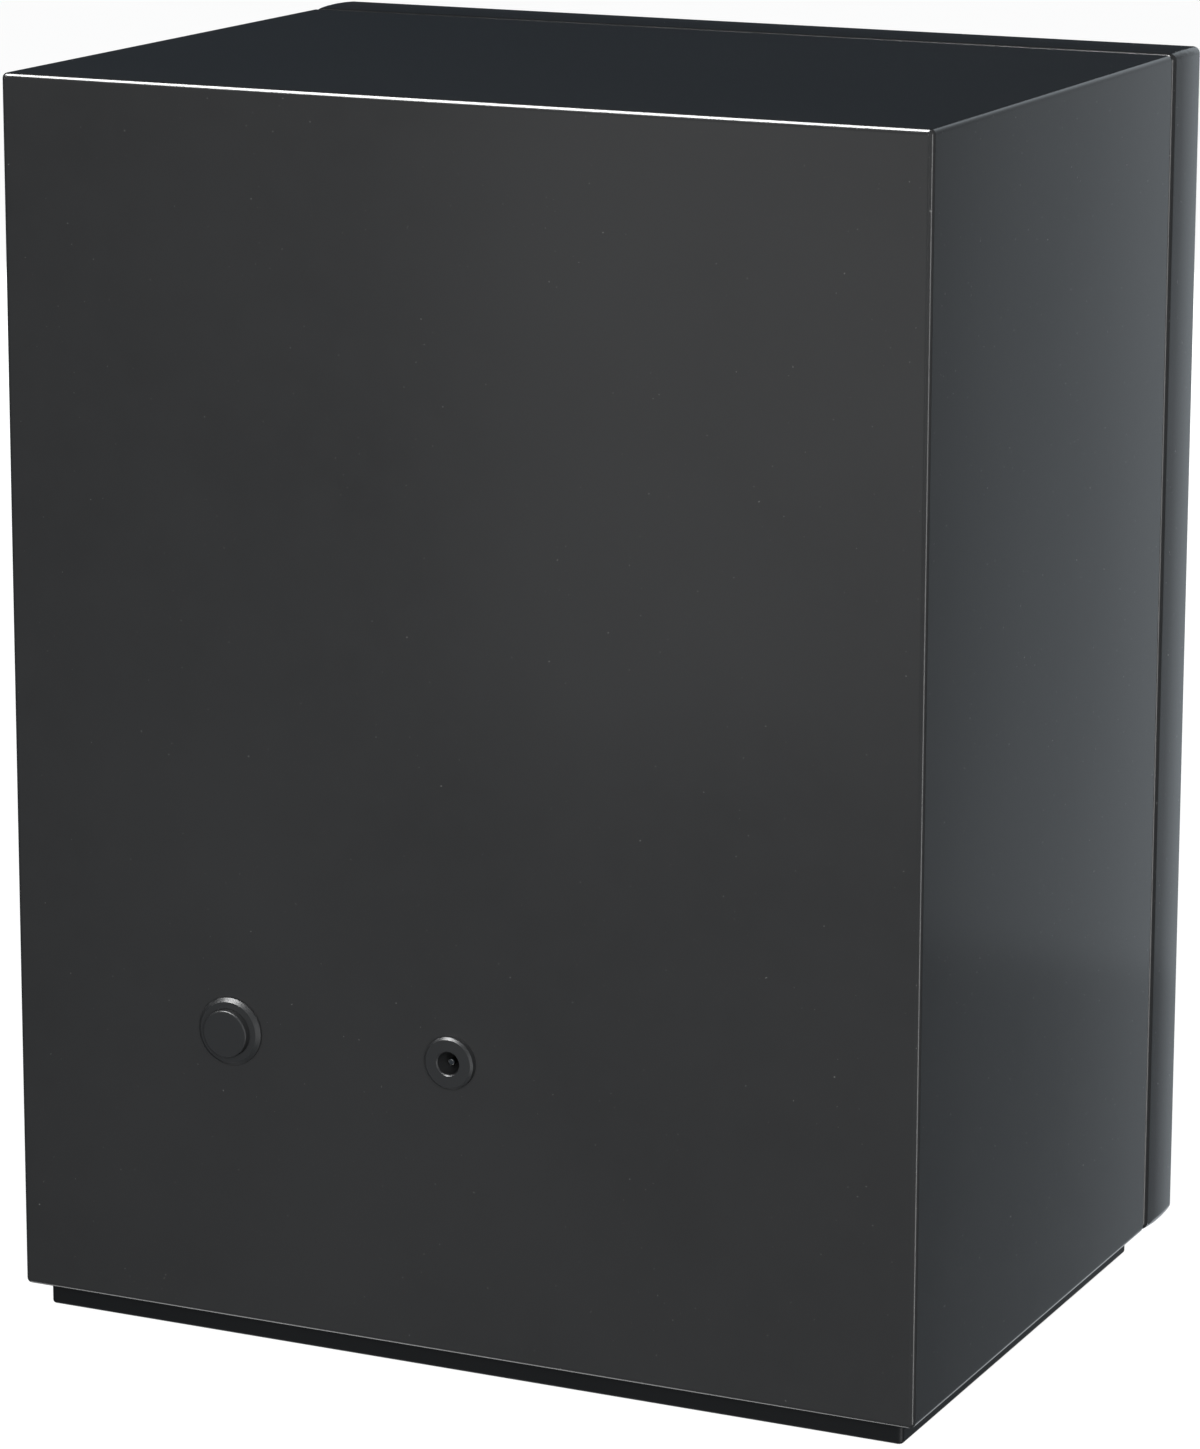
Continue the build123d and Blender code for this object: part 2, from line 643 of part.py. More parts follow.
def make_intake_grille():
    """Flanged panel of fine upright bars with cross ribs, behind the cover's lower window."""
    x1 = INTAKE_W / 2 - INSERT_LIP
    z0, z1 = INTAKE_Z0 + INSERT_LIP, INTAKE_Z1 - INSERT_LIP
    back = COVER_SKIN + BAR_BACK
    grille = insert_flange(INTAKE_W, INTAKE_Z0, INTAKE_Z1, grille_pegs())
    grille -= block(-x1, x1, COVER_SKIN - CUT, COVER_SKIN + INSERT_T + CUT, z0, z1)
    count = round(2 * x1 / BAR_PITCH)
    bars = []
    for i in range(count):
        x = (i - (count - 1) / 2) * BAR_PITCH
        bars.append(block(x - BAR_W / 2, x + BAR_W / 2, COVER_FRONT + FACE_STEP, back, z0 - BITE, z1 + BITE))
    rise = (z1 - z0) / (RIB_COUNT + 1)
    for i in range(RIB_COUNT):
        z = z0 + (i + 1) * rise
        bars.append(block(-x1 - BITE, x1 + BITE, COVER_SKIN + CUT, back, z - RIB_H / 2, z + RIB_H / 2))
    return grille + bars


def make_outlet_louvre():
    """Flanged frame with tilted vanes that throw the clean air up and forward."""
    back = COVER_SKIN + LOUVRE_D
    frame = insert_flange(OUTLET_W, OUTLET_Z0, OUTLET_Z1, louvre_pegs())
    z0, z1 = OUTLET_Z0 + SLIM, OUTLET_Z1 - SLIM
    width = OUTLET_W - 2 * SLIM
    frame += window(width, z0, z1, WINDOW_R, COVER_FRONT + FACE_STEP, back)
    inside = INSERT_LIP
    frame -= window(width - 2 * inside, z0 + inside, z1 - inside, WINDOW_R / 2, COVER_FRONT, back + CUT)
    vane = Box(width - 2 * inside + 2 * BITE, VANE_D, VANE_T)
    vane = fillet(vane.edges().filter_by(Axis.X), VANE_T * VANE_ROUND)
    rise = (OUTLET_Z1 - OUTLET_Z0) / (VANES + 1)
    middle = COVER_FRONT + FACE_STEP + VANE_D * VANE_SET
    for i in range(VANES):
        frame += Pos(0, middle, OUTLET_Z0 + rise * (i + 1)) * Rot(-VANE_TILT, 0, 0) * vane
    for x in STAY_X:
        frame += block(x - VANE_T / 2, x + VANE_T / 2, middle, back - CUT, z0 + CUT, z1 - CUT)
    return frame


def make_grille_rivets():
    """Heads formed on the cover's pegs."""
    seat = COVER_SKIN + PEG_H
    return group([rod_y(x, z, RIVET_R, seat, seat + RIVET_T) for x, z in grille_pegs() + louvre_pegs()])


def make_cover_magnets():
    return group([rod_y(x, z, MAGNET_R, COVER_REAR - MAGNET_T, COVER_REAR) for x, z in latch_points()])


def make_locating_pins():
    """Shouldered pins: the shoulders set the shadow gap, the tips centre the cover."""
    made = []
    for x in (-LATCH_X, LATCH_X):
        pin = rod_y(x, MID_Z, PIN_SHOULDER_R, COVER_REAR - PIN_SHOULDER_L, FRONT)
        pin += rod_y(x, MID_Z, PIN_TIP_R, COVER_REAR - PIN_ROOT, FRONT + PIN_TIP_L)
        made.append(chamfer(pin.edges().sort_by(Axis.Y)[-1], SKIN))
    return group(made)


# ---- filter cartridge ----
def make_filter_frame():
    """Rectangular frame whose front and rear lips hold the pleated media."""
    half = FILTER_W / 2
    frame = block(-half, half, FRAME_FRONT, FRAME_BACK, FILTER_Z0, FILTER_Z1)
    frame = fillet(frame.edges().filter_by(Axis.Y), FRAME_R)
    inner = half - FRAME_WALL
    z0 = FILTER_Z0 + FRAME_WALL
    z1 = FILTER_Z1 - FRAME_WALL
    lip = FRAME_LIP
    frame -= block(-inner, inner, FRAME_FRONT + FRAME_FACE, FRAME_BACK - FRAME_FACE, z0, z1)
    frame -= block(-inner + lip, inner - lip, FRAME_FRONT - CUT, FRAME_BACK + CUT, z0 + lip, z1 - lip)
    return frame


def make_filter_media():
    """One pleated sheet, folded as a square wave."""
    half_t = PLEAT_T / 2
    y0 = FRAME_FRONT + FRAME_FACE + half_t + MEDIA_GAP
    y1 = FRAME_BACK - FRAME_FACE - half_t - MEDIA_GAP
    count = int((FILTER_W - 2 * FRAME_WALL - 2 * PLEAT_T) / PLEAT_PITCH)
    left, right = [], []
    for i in range(count + 1):
        x = (i - count / 2) * PLEAT_PITCH
        turn = 1 if i % 2 == 0 else -1
        ends = (y0, y1) if turn == 1 else (y1, y0)
        left += [(x - turn * half_t, y + half_t) for y in ends]
        right += [(x + turn * half_t, y - half_t) for y in ends]
    outline = make_face(Polyline(*left, *reversed(right), close=True))
    z0 = FILTER_Z0 + FRAME_WALL + MEDIA_GAP
    z1 = FILTER_Z1 - FRAME_WALL - MEDIA_GAP
    return Pos(0, 0, z0) * extrude(outline, amount=z1 - z0)


def make_filter_seal():
    """Foam ring between the cartridge and the bulkhead."""
    rim = SEAL_RIM
    return open_box(FILTER_W - 2 * rim, FILTER_Z0 + rim, FILTER_Z1 - rim, SEAL_W, FRAME_BACK, BULK_FRONT)


def make_pre_filter():
    """Washable screen: a frame with a coarse lattice of thin bars."""
    half = FILTER_W / 2 - PRE_INSET
    z0 = FILTER_Z0 + PRE_INSET
    y0 = FRAME_FRONT - PRE_T
    screen = block(-half, half, y0, FRAME_FRONT, z0, PRE_TOP)
    pitch_x = (2 * (half - PRE_RIM) + PRE_BAR) / PRE_COLS
    pitch_z = (PRE_TOP - z0 - 2 * PRE_RIM + PRE_BAR) / PRE_ROWS
    cells = []
    for i in range(PRE_COLS):
        for j in range(PRE_ROWS):
            x = -half + PRE_RIM + i * pitch_x
            z = z0 + PRE_RIM + j * pitch_z
            x1 = x + pitch_x - PRE_BAR
            z1 = z + pitch_z - PRE_BAR
            cells.append(block(x, x1, y0 - CUT, FRAME_FRONT + CUT, z, z1))
    return screen - cells


def make_pull_tab():
    """Short webbing loop on the frame's upper front edge."""
    half = TAB_W / 2
    y0 = FRAME_FRONT - PRE_T
    tab = block(-half, half, y0, FRAME_FRONT, PRE_TOP + TAB_T, FILTER_Z1 - FRAME_R)
    hollow = half - FRAME_LIP
    return tab - block(-hollow, hollow, y0 + TAB_T, FRAME_FRONT - TAB_T, PRE_TOP, FILTER_Z1)


# ---- fan ----
def polar_points(radius, angles):
    """Points round the fan's axis, as x and z."""
    turns = [math.radians(angle) for angle in angles]
    return [(radius * math.cos(turn), FAN_Z + radius * math.sin(turn)) for turn in turns]


def ring_screw_points():
    return polar_points(RING_SCREW_R, RING_SCREW_TURNS)


def motor_screw_points():
    return polar_points(MOTOR_SCREW_PITCH_R, MOTOR_SCREW_TURNS)


def make_inlet_guard():
    """Rings and spokes that keep fingers out of the fan."""
    y0 = BULK_FRONT + GUARD_BACKSET
    y1 = BULK_BACK
    outer = INLET_HOLE_R - PANEL_GAP
    guard = rod_y(0, FAN_Z, GUARD_HUB_R, y0, y1)
    guard += ring_y(0, FAN_Z, outer, outer - GUARD_RIM, y0, y1)
    for r in GUARD_RINGS:
        guard += ring_y(0, FAN_Z, r, r - GUARD_WIRE, y0, y1)
    spoke = Pos(outer / 2, (y0 + y1) / 2, 0) * Box(outer - GUARD_WIRE, y1 - y0, GUARD_WIRE)
    for i in range(GUARD_SPOKES):
        guard += Pos(0, 0, FAN_Z) * Rot(0, i * 360 / GUARD_SPOKES, 0) * spoke
    return guard


def make_fan_inlet_ring():
    """Bellmouth behind the bulkhead that leads the air into the impeller's eye."""
    y0 = BULK_BACK
    tip = IMP_FRONT + LIP_OVERLAP
    mouth = THROAT_R + FLARE
    outer = THROAT_R + LIP_T
    turn_r, turn_front, turn_end = MOUTH_TURN
    behind = [(RING_R, y0), (RING_R, y0 + RING_T), (mouth, y0 + RING_T)]
    behind += [(outer + turn_r, y0 + RING_T + turn_front), (outer, y0 + RING_T + turn_end), (outer, tip)]
    ahead = [(THROAT_R, tip), (THROAT_R, y0 + turn_end + 1), (THROAT_R + turn_r, y0 + turn_front), (mouth, y0)]
    ring = turned_y(behind + ahead, 0, FAN_Z)
    for x, z in ring_screw_points():
        ring -= rod_y(x, z, CLEAR_R, y0 - CUT, y0 + RING_T + CUT)
    return ring


def make_inlet_ring_screws():
    seat = BULK_BACK + RING_T
    return group([screw_y(x, z, seat, RING_SCREW_L, SCREW_R, -1) for x, z in ring_screw_points()])


def make_impeller():
    """Backward-curved plenum wheel: hub plate, blades and sloping front shroud."""
    wheel = rod_y(0, 0, HUB_R, IMP_BACK - HUB_L, IMP_BACK)
    wheel += rod_y(0, 0, IMP_R, IMP_BACK - HUB_PLATE_T, IMP_BACK)
    neck = IMP_FRONT + SHROUD_RISE / 2
    rim = IMP_FRONT + SHROUD_RISE
    under_neck = neck + 1
    shroud = [(IMP_EYE_R, IMP_FRONT), (IMP_EYE_R + SHROUD_T, IMP_FRONT), (IMP_EYE_R + SHROUD_T + 1, neck),
              (IMP_R, rim), (IMP_R, rim + SHROUD_T), (IMP_EYE_R, under_neck)]
    wheel += turned_y(shroud, 0, 0)
    tip_r = IMP_R - BITE
    middle_r = (BLADE_IN_R + tip_r) / 2
    sweep_to = math.radians(BLADE_SWEEP)
    bulge = sweep_to * BLADE_BULGE
    middle = (middle_r * math.cos(bulge), middle_r * math.sin(bulge))
    tip = (tip_r * math.cos(sweep_to), tip_r * math.sin(sweep_to))
    line = ThreePointArc((BLADE_IN_R, 0), middle, tip)
    blade = prism_y(trace(line, line_width=BLADE_T), IMP_FRONT, IMP_BACK - BITE)
    far = IMP_R + VANE_OVERCUT
    above = [(0, IMP_FRONT - CUT), (0, under_neck), (IMP_EYE_R + SHROUD_T, under_neck), (IMP_R, rim + BITE),
             (far, rim + BITE), (far, IMP_FRONT - CUT)]
    blade -= turned_y(above, 0, 0)
    for i in range(BLADES):
        wheel += Rot(0, i * 360 / BLADES, 0) * blade
    wheel -= rod_y(0, 0, SHAFT_R, IMP_FRONT, IMP_BACK + CUT)
    return Pos(0, 0, FAN_Z) * wheel


def make_impeller_nut():
    y1 = IMP_BACK - HUB_L
    nut = hex_y(0, FAN_Z, NUT_ACROSS, y1 - NUT_T, y1)
    return nut - rod_y(0, FAN_Z, SHAFT_R, y1 - NUT_T - CUT, y1 + CUT)


# ---- motor ----
FRONT_BEARING_Y = CAN_FRONT + BEARING_STEP
REAR_BEARING_Y = CAN_BACK - CAN_FLOOR
CORE_Y0 = CAN_FRONT + CORE_INSET
CORE_Y1 = CAN_BACK - CORE_INSET


def make_motor_can():
    """Cup open at the front, with a pocket for the rear bearing and three screw holes."""
    can = rod_y(0, FAN_Z, CAN_R, CAN_FRONT + END_CAP_T, CAN_BACK)
    can -= rod_y(0, FAN_Z, STATOR_R, CAN_FRONT, REAR_BEARING_Y)
    can -= rod_y(0, FAN_Z, BEARING_R, REAR_BEARING_Y - CUT, REAR_BEARING_Y + BEARING_W)
    can -= rod_y(0, FAN_Z, SHAFT_HOLE_R, REAR_BEARING_Y, CAN_BACK + CUT)
    for x, z in motor_screw_points():
        can -= rod_y(x, z, PILOT_R, CAN_BACK - CAN_FLOOR + SKIN, CAN_BACK + CUT)
    return can


def make_motor_end_cap():
    """Disc that closes the can and holds the front bearing."""
    y0 = CAN_FRONT
    cap = rod_y(0, FAN_Z, CAN_R, y0, y0 + END_CAP_T)
    cap += rod_y(0, FAN_Z, BEARING_R + BEARING_STEP, y0, FRONT_BEARING_Y + BEARING_W)
    cap -= rod_y(0, FAN_Z, BEARING_R, FRONT_BEARING_Y, FRONT_BEARING_Y + BEARING_W + CUT)
    return cap - rod_y(0, FAN_Z, SHAFT_HOLE_R, y0 - CUT, y0 + END_CAP_T)


def make_motor_bearings():
    """Two ball bearings, each one solid with grooves that mark its rings and shields."""
    made = []
    for y0 in (FRONT_BEARING_Y, REAR_BEARING_Y):
        y1 = y0 + BEARING_W
        race = ring_y(0, FAN_Z, BEARING_R, SHAFT_R + BEARING_GAP, y0, y1)
        for y in (y0, y1):
            for r_in, r_out in BEARING_GROOVES:
                race -= ring_y(0, FAN_Z, r_out, r_in, y - GROOVE_DEEP, y + GROOVE_DEEP)
        made.append(race)
    return group(made)


def make_stator_core():
    """Laminated ring with teeth that reach in to the bore."""
    length = CORE_Y1 - CORE_Y0
    core = ring_y(0, FAN_Z, STATOR_R, STATOR_R - STATOR_YOKE, CORE_Y0, CORE_Y1)
    reach = STATOR_R - STATOR_YOKE - BORE_R + 2 * BITE
    tooth = Pos(0, (CORE_Y0 + CORE_Y1) / 2, BORE_R - BITE + reach / 2) * Box(TOOTH_W, length, reach)
    for i in range(TEETH):
        core += Pos(0, 0, FAN_Z) * Rot(0, i * 360 / TEETH, 0) * tooth
    return core - rod_y(0, FAN_Z, BORE_R, CORE_Y0 - CUT, CORE_Y1 + CUT)


def make_stator_coils():
    """One winding round each tooth."""
    length = CORE_Y1 - CORE_Y0
    coil = Box(COIL_W, length + 2 * COIL_OVERHANG, COIL_H)
    coil = fillet(coil.edges().filter_by(Axis.Z), COIL_R)
    coil -= Box(TOOTH_W + PANEL_GAP, length + PANEL_GAP, COIL_H + CUT)
    coil = Pos(0, (CORE_Y0 + CORE_Y1) / 2, (STATOR_R - STATOR_YOKE + BORE_R) / 2 + BITE) * coil
    return group([Pos(0, 0, FAN_Z) * Rot(0, i * 360 / TEETH, 0) * coil for i in range(TEETH)])


def make_motor_shaft():
    front = IMP_BACK - HUB_L - NUT_T - CUT
    shaft = rod_y(0, FAN_Z, SHAFT_R, front, REAR_BEARING_Y + BEARING_W)
    return chamfer(shaft.edges(), SHAFT_CHAMFER)


def make_rotor_core():
    return ring_y(0, FAN_Z, ROTOR_R - MAGNET_RING, SHAFT_R, CORE_Y0, CORE_Y1)


def make_rotor_magnets():
    """Four curved magnets round the core."""
    ring = ring_y(0, FAN_Z, ROTOR_R, ROTOR_R - MAGNET_RING, CORE_Y0 + CUT, CORE_Y1 - CUT)
    half = MAGNET_SLIT / 2
    span = 2 * ROTOR_R
    ring -= block(-half, half, CORE_Y0, CORE_Y1, FAN_Z - span, FAN_Z + span)
    ring -= block(-span, span, CORE_Y0, CORE_Y1, FAN_Z - half, FAN_Z + half)
    return group(ring.solids())


def make_motor_bracket():
    """Four-armed steel plate behind the motor."""
    y0, y1 = CAN_BACK, CAN_BACK + BRACKET_T
    plate = rod_y(0, FAN_Z, BRACKET_R, y0, y1)
    arm = Pos(ARM_R / 2, (y0 + y1) / 2, 0) * Box(ARM_R, BRACKET_T, ARM_W)
    for x, z in arm_points():
        angle = math.degrees(math.atan2(z - FAN_Z, x))
        plate += Pos(0, 0, FAN_Z) * Rot(0, -angle, 0) * arm
        plate += rod_y(x, z, ARM_W / 2, y0, y1)
    for x, z in arm_points() + motor_screw_points():
        plate -= rod_y(x, z, CLEAR_R, y0 - CUT, y1 + CUT)
    return plate - rod_y(0, FAN_Z, SHAFT_HOLE_R + 2, y0 - CUT, y1 + CUT)


def make_bracket_grommets():
    """Rubber rings with a waist, between the bracket and its bosses."""
    y0 = CAN_BACK + BRACKET_T
    y1 = y0 + GROMMET_T
    lip = GROMMET_T / 3
    outline = [(CLEAR_R, y0), (GROMMET_R, y0), (GROMMET_R, y0 + lip), (GROMMET_WAIST_R, y0 + lip + SKIN),
               (GROMMET_WAIST_R, y1 - lip - SKIN), (GROMMET_R, y1 - lip), (GROMMET_R, y1), (CLEAR_R, y1)]
    return group([turned_y(outline, x, z) for x, z in arm_points()])


def make_bracket_screws():
    return group([screw_y(x, z, CAN_BACK, ARM_SCREW_L, SCREW_R, 1) for x, z in arm_points()])


def make_motor_screws():
    seat = CAN_BACK + BRACKET_T
    return group([screw_y(x, z, seat, MOTOR_SCREW_L, SCREW_R, -1) for x, z in motor_screw_points()])


# ---- push button ----
CAP_FLOOR = REAR - CAP_SUNK
BARREL_END = REAR - BUTTON_DEEP
SWITCH_FACE = BARREL_END + SWITCH_L


def make_button_bezel():
    """Bevelled ring with a barrel that passes through the rear wall."""
    face = REAR + BEZEL_PROUD
    seat = REAR + BUTTON_SEAL_T
    bore = CAP_R + CAP_GAP
    drop = face - BUTTON_BEVEL
    outline = [(bore, face), (BEZEL_R - BUTTON_BEVEL, face), (BEZEL_R - BEVEL_LIP, drop + BEVEL_LIP),
               (BEZEL_R, drop), (BEZEL_R, seat), (BUTTON_R, seat), (BUTTON_R, BARREL_END), (bore, BARREL_END)]
    return turned_y(outline, BUTTON_X, CONTROL_Z)


def make_button_gasket():
    return ring_y(BUTTON_X, CONTROL_Z, BEZEL_R - BEVEL_LIP, BUTTON_R, REAR, REAR + BUTTON_SEAL_T)


def make_button_nut():
    y0 = IN_REAR - BUTTON_NUT_T
    nut = hex_y(BUTTON_X, CONTROL_Z, BUTTON_NUT_ACROSS, y0, IN_REAR)
    return nut - rod_y(BUTTON_X, CONTROL_Z, BUTTON_R, y0 - CUT, IN_REAR + CUT)


def make_button_cap():
    cap = rod_y(BUTTON_X, CONTROL_Z, CAP_R, CAP_FLOOR, REAR + CAP_PROUD)
    return fillet(cap.edges().sort_by(Axis.Y)[-1], CAP_EDGE_R)


def make_button_plunger():
    """Stem that carries the cap's push to the switch, with a foot that stays inside it."""
    return rod_y(BUTTON_X, CONTROL_Z, PLUNGER_R, SWITCH_FACE - PLUNGER_FOOT, CAP_FLOOR)


def make_button_spring():
    """Open coil round the plunger, between the cap's floor and the switch."""
    height = CAP_FLOOR - SWITCH_FACE - 2 * SPRING_WIRE_R
    coil = Helix(pitch=height / SPRING_TURNS, height=height, radius=SPRING_R)
    start = Plane(origin=coil @ 0, z_dir=coil % 0)
    spring = sweep(start * Circle(SPRING_WIRE_R), path=coil)
    return Pos(BUTTON_X, SWITCH_FACE + SPRING_WIRE_R, CONTROL_Z) * Rot(-90, 0, 0) * spring


def make_button_switch():
    """Switch block in the barrel's end, with a well for the plunger."""
    switch = rod_y(BUTTON_X, CONTROL_Z, CAP_R, BARREL_END, SWITCH_FACE)
    well_r = PLUNGER_R + PLUNGER_GAP
    return switch - rod_y(BUTTON_X, CONTROL_Z, well_r, SWITCH_FACE - PLUNGER_WELL, SWITCH_FACE + CUT)


def make_button_terminals():
    """Two straight lugs behind the switch."""
    half_t, half_w = TERMINAL_T / 2, TERMINAL_W / 2
    made = []
    for x in (BUTTON_X - TERMINAL_DX, BUTTON_X + TERMINAL_DX):
        made.append(block(x - half_t, x + half_t, BARREL_END - TERMINAL_L, BARREL_END,
                          CONTROL_Z - half_w, CONTROL_Z + half_w))
    return group(made)


# ---- DC socket ----
JACK_END = REAR - JACK_DEEP
SOCKET_FACE = REAR + FLANGE_PROUD
SOCKET_FLOOR = SOCKET_FACE - SOCKET_DEEP


def make_jack_body():
    """Round flange and barrel with a blind bore for the plug."""
    face = SOCKET_FACE
    outline = [(SOCKET_R, face - SOCKET_LEAD), (SOCKET_R + SOCKET_LEAD, face),
               (FLANGE_R - FLANGE_BEVEL, face), (FLANGE_R, face - FLANGE_BEVEL), (FLANGE_R, REAR)]
    outline += [(JACK_R, REAR), (JACK_R, JACK_END), (PIN_ROOT_R, JACK_END), (PIN_ROOT_R, SOCKET_FLOOR),
                (SOCKET_R, SOCKET_FLOOR)]
    return turned_y(outline, 0, CONTROL_Z)


def make_jack_pin():
    """Centre contact: a thicker root in the barrel's floor and a thin round-nosed pin in its bore."""
    pin = rod_y(0, CONTROL_Z, PIN_ROOT_R, JACK_END - PIN_TAIL, SOCKET_FLOOR)
    pin += rod_y(0, CONTROL_Z, PIN_R, JACK_END, SOCKET_FACE - PIN_BACKSET)
    return fillet(pin.edges().sort_by(Axis.Y)[-1], PIN_TIP_ROUND)


def make_jack_nut():
    y0 = IN_REAR - JACK_NUT_T
    nut = hex_y(0, CONTROL_Z, JACK_NUT_ACROSS, y0, IN_REAR)
    return nut - rod_y(0, CONTROL_Z, JACK_R, y0 - CUT, IN_REAR + CUT)


def make_jack_terminals():
    """One lug bent to the side, where the cable starts, and one straight lug above the pin."""
    half_w = TERMINAL_W / 2
    side = block(-LUG_REACH, -half_w, JACK_END - TERMINAL_T, JACK_END, CONTROL_Z - half_w, CONTROL_Z + half_w)
    low = CONTROL_Z + half_w + CUT
    tail = block(-half_w, half_w, JACK_END - TERMINAL_L, JACK_END, low, low + TERMINAL_T)
    return group([side, tail])


# ---- electronics ----
BOARD_FACE = BOARD_BACK - BOARD_T


def chip(x, z, width, height, tall):
    """Rectangular component on the board's face, by its middle."""
    half_w, half_h = width / 2, height / 2
    return block(x - half_w, x + half_w, BOARD_FACE - tall, BOARD_FACE, z - half_h, z + half_h)


def make_control_board():
    half = BOARD_W / 2
    board = block(-half, half, BOARD_FACE, BOARD_BACK, BOARD_Z0, BOARD_Z1)
    board = fillet(board.edges().filter_by(Axis.Y), BOARD_R)
    for x, z in board_points():
        board -= rod_y(x, z, SMALL_CLEAR_R, BOARD_FACE - CUT, BOARD_BACK + CUT)
    return board


def make_board_components():
    """Controller, motor driver, inductor, two capacitors and two rows of small parts."""
    made = [chip(*sizes) for sizes in (CONTROLLER, DRIVER, INDUCTOR)]
    for x in CAPACITOR_X:
        made.append(rod_y(x, CAPACITOR_Z, CAPACITOR_R, BOARD_FACE - CAPACITOR_H, BOARD_FACE))
    for count, first_x, pitch, z, width, height, tall in CHIP_ROWS:
        made += [chip(first_x + pitch * i, z, width, height, tall) for i in range(count)]
    return group(made)


def make_board_connectors():
    low = BOARD_Z0 + CONNECTOR / 2
    made = [chip(x, low, CONNECTOR_W, CONNECTOR, CONNECTOR) for x in (POWER_X, MOTOR_X)]
    made.append(chip(BOARD_W / 2 - CONNECTOR / 2, SIDE_Z, CONNECTOR, CONNECTOR_W, CONNECTOR))
    return group(made)


def make_board_screws():
    return group([screw_y(x, z, BOARD_FACE, BOARD_SCREW_L, SMALL_SCREW_R, 1) for x, z in board_points()])


# ---- internal cables ----
CABLE_Y = BOARD_FACE - CONNECTOR / 2      # where a cable meets its connector
CLIP_Y = IN_REAR - 9.0                    # cable's axis in its clip


def make_power_cable():
    """From the socket's side lug, up the rear wall, to the board's lower edge."""
    x = POWER_CLIP[0]
    start = (-LUG_REACH - SLIM, JACK_END - TERMINAL_T / 2, CONTROL_Z)
    leave, near = POWER_RUN_Z
    return cable([start, (x, CLIP_Y, CONTROL_Z), (x, CLIP_Y, leave), (POWER_X, CABLE_Y, near),
                  (POWER_X, CABLE_Y, BOARD_Z0)], CABLE_R)


def make_button_cable():
    """From the button's terminals, out and up the rear wall, to the board's side."""
    x = BUTTON_CLIP[0]
    y = BARREL_END - TERMINAL_L
    run_in, rise = BUTTON_START
    low, high = BUTTON_RUN_Z
    return cable([(BUTTON_X, y, CONTROL_Z), (BUTTON_X, y - run_in, CONTROL_Z + rise), (x, CLIP_Y, low),
                  (x, CLIP_Y, high), (BUTTON_LAST_X, CABLE_Y, SIDE_Z), (BOARD_W / 2, CABLE_Y, SIDE_Z)], CABLE_R)


def make_motor_cable():
    """From the top of the motor's can to the board's lower edge."""
    y = CAN_BACK - MOTOR_EXIT
    top = FAN_Z + CAN_R
    low, high = MOTOR_RISE
    return cable([(0, y, top), (0, y, top + low), (MOTOR_X, CABLE_Y, top + high),
                  (MOTOR_X, CABLE_Y, BOARD_Z0)], CABLE_R)


def make_cable_clips():
    made = []
    for x, z in (POWER_CLIP, BUTTON_CLIP):
        half_w, half_h = CLIP_W / 2, CLIP_H / 2
        clip = block(x - half_w, x + half_w, CLIP_Y - CLIP_FRONT, IN_REAR, z - half_h, z + half_h)
        made.append(clip - rod_z(x, CLIP_Y, CABLE_R + PANEL_GAP, z - CLIP_H, z + CLIP_H))
    return group(made)


PARTS = {
    "body_shell": make_body_shell,
    "bulkhead_standoffs": make_bulkhead_standoffs,
    "rear_wall_standoffs": make_rear_wall_standoffs,
    "base_plinth": make_base_plinth,
    "foot_pads": make_foot_pads,
    "plinth_screws": make_plinth_screws,
    "bulkhead": make_bulkhead,
    "bulkhead_screws": make_bulkhead_screws,
    "filter_bay": make_filter_bay,
    "bay_screws": make_bay_screws,
    "bay_gasket": make_bay_gasket,
    "strike_plates": make_strike_plates,
    "front_cover": make_front_cover,
    "intake_grille": make_intake_grille,
    "outlet_louvre": make_outlet_louvre,
    "grille_rivets": make_grille_rivets,
    "cover_magnets": make_cover_magnets,
    "locating_pins": make_locating_pins,
    "filter_frame": make_filter_frame,
    "filter_media": make_filter_media,
    "filter_seal": make_filter_seal,
    "pre_filter": make_pre_filter,
    "pull_tab": make_pull_tab,
    "inlet_guard": make_inlet_guard,
    "fan_inlet_ring": make_fan_inlet_ring,
    "inlet_ring_screws": make_inlet_ring_screws,
    "impeller": make_impeller,
    "impeller_nut": make_impeller_nut,
    "motor_can": make_motor_can,
    "motor_end_cap": make_motor_end_cap,
    "motor_bearings": make_motor_bearings,
    "stator_core": make_stator_core,
    "stator_coils": make_stator_coils,
    "motor_shaft": make_motor_shaft,
    "rotor_core": make_rotor_core,
    "rotor_magnets": make_rotor_magnets,
    "motor_bracket": make_motor_bracket,
    "bracket_grommets": make_bracket_grommets,
    "bracket_screws": make_bracket_screws,
    "motor_screws": make_motor_screws,
    "button_bezel": make_button_bezel,
    "button_gasket": make_button_gasket,
    "button_nut": make_button_nut,
    "button_cap": make_button_cap,
    "button_plunger": make_button_plunger,
    "button_spring": make_button_spring,
    "button_switch": make_button_switch,
    "button_terminals": make_button_terminals,
    "jack_body": make_jack_body,
    "jack_pin": make_jack_pin,
    "jack_nut": make_jack_nut,
    "jack_terminals": make_jack_terminals,
    "control_board": make_control_board,
    "board_components": make_board_components,
    "board_connectors": make_board_connectors,
    "board_screws": make_board_screws,
    "power_cable": make_power_cable,
    "button_cable": make_button_cable,
    "motor_cable": make_motor_cable,
    "cable_clips": make_cable_clips,
}

os.makedirs("parts", exist_ok=True)
for name, make in PARTS.items():
    shape = make()
    export_step(shape, f"parts/{name}.step")
    print(name, len(shape.solids()), round(shape.volume))
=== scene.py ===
import json
import math

import bmesh
import bpy
from mathutils import Matrix, Vector, noise


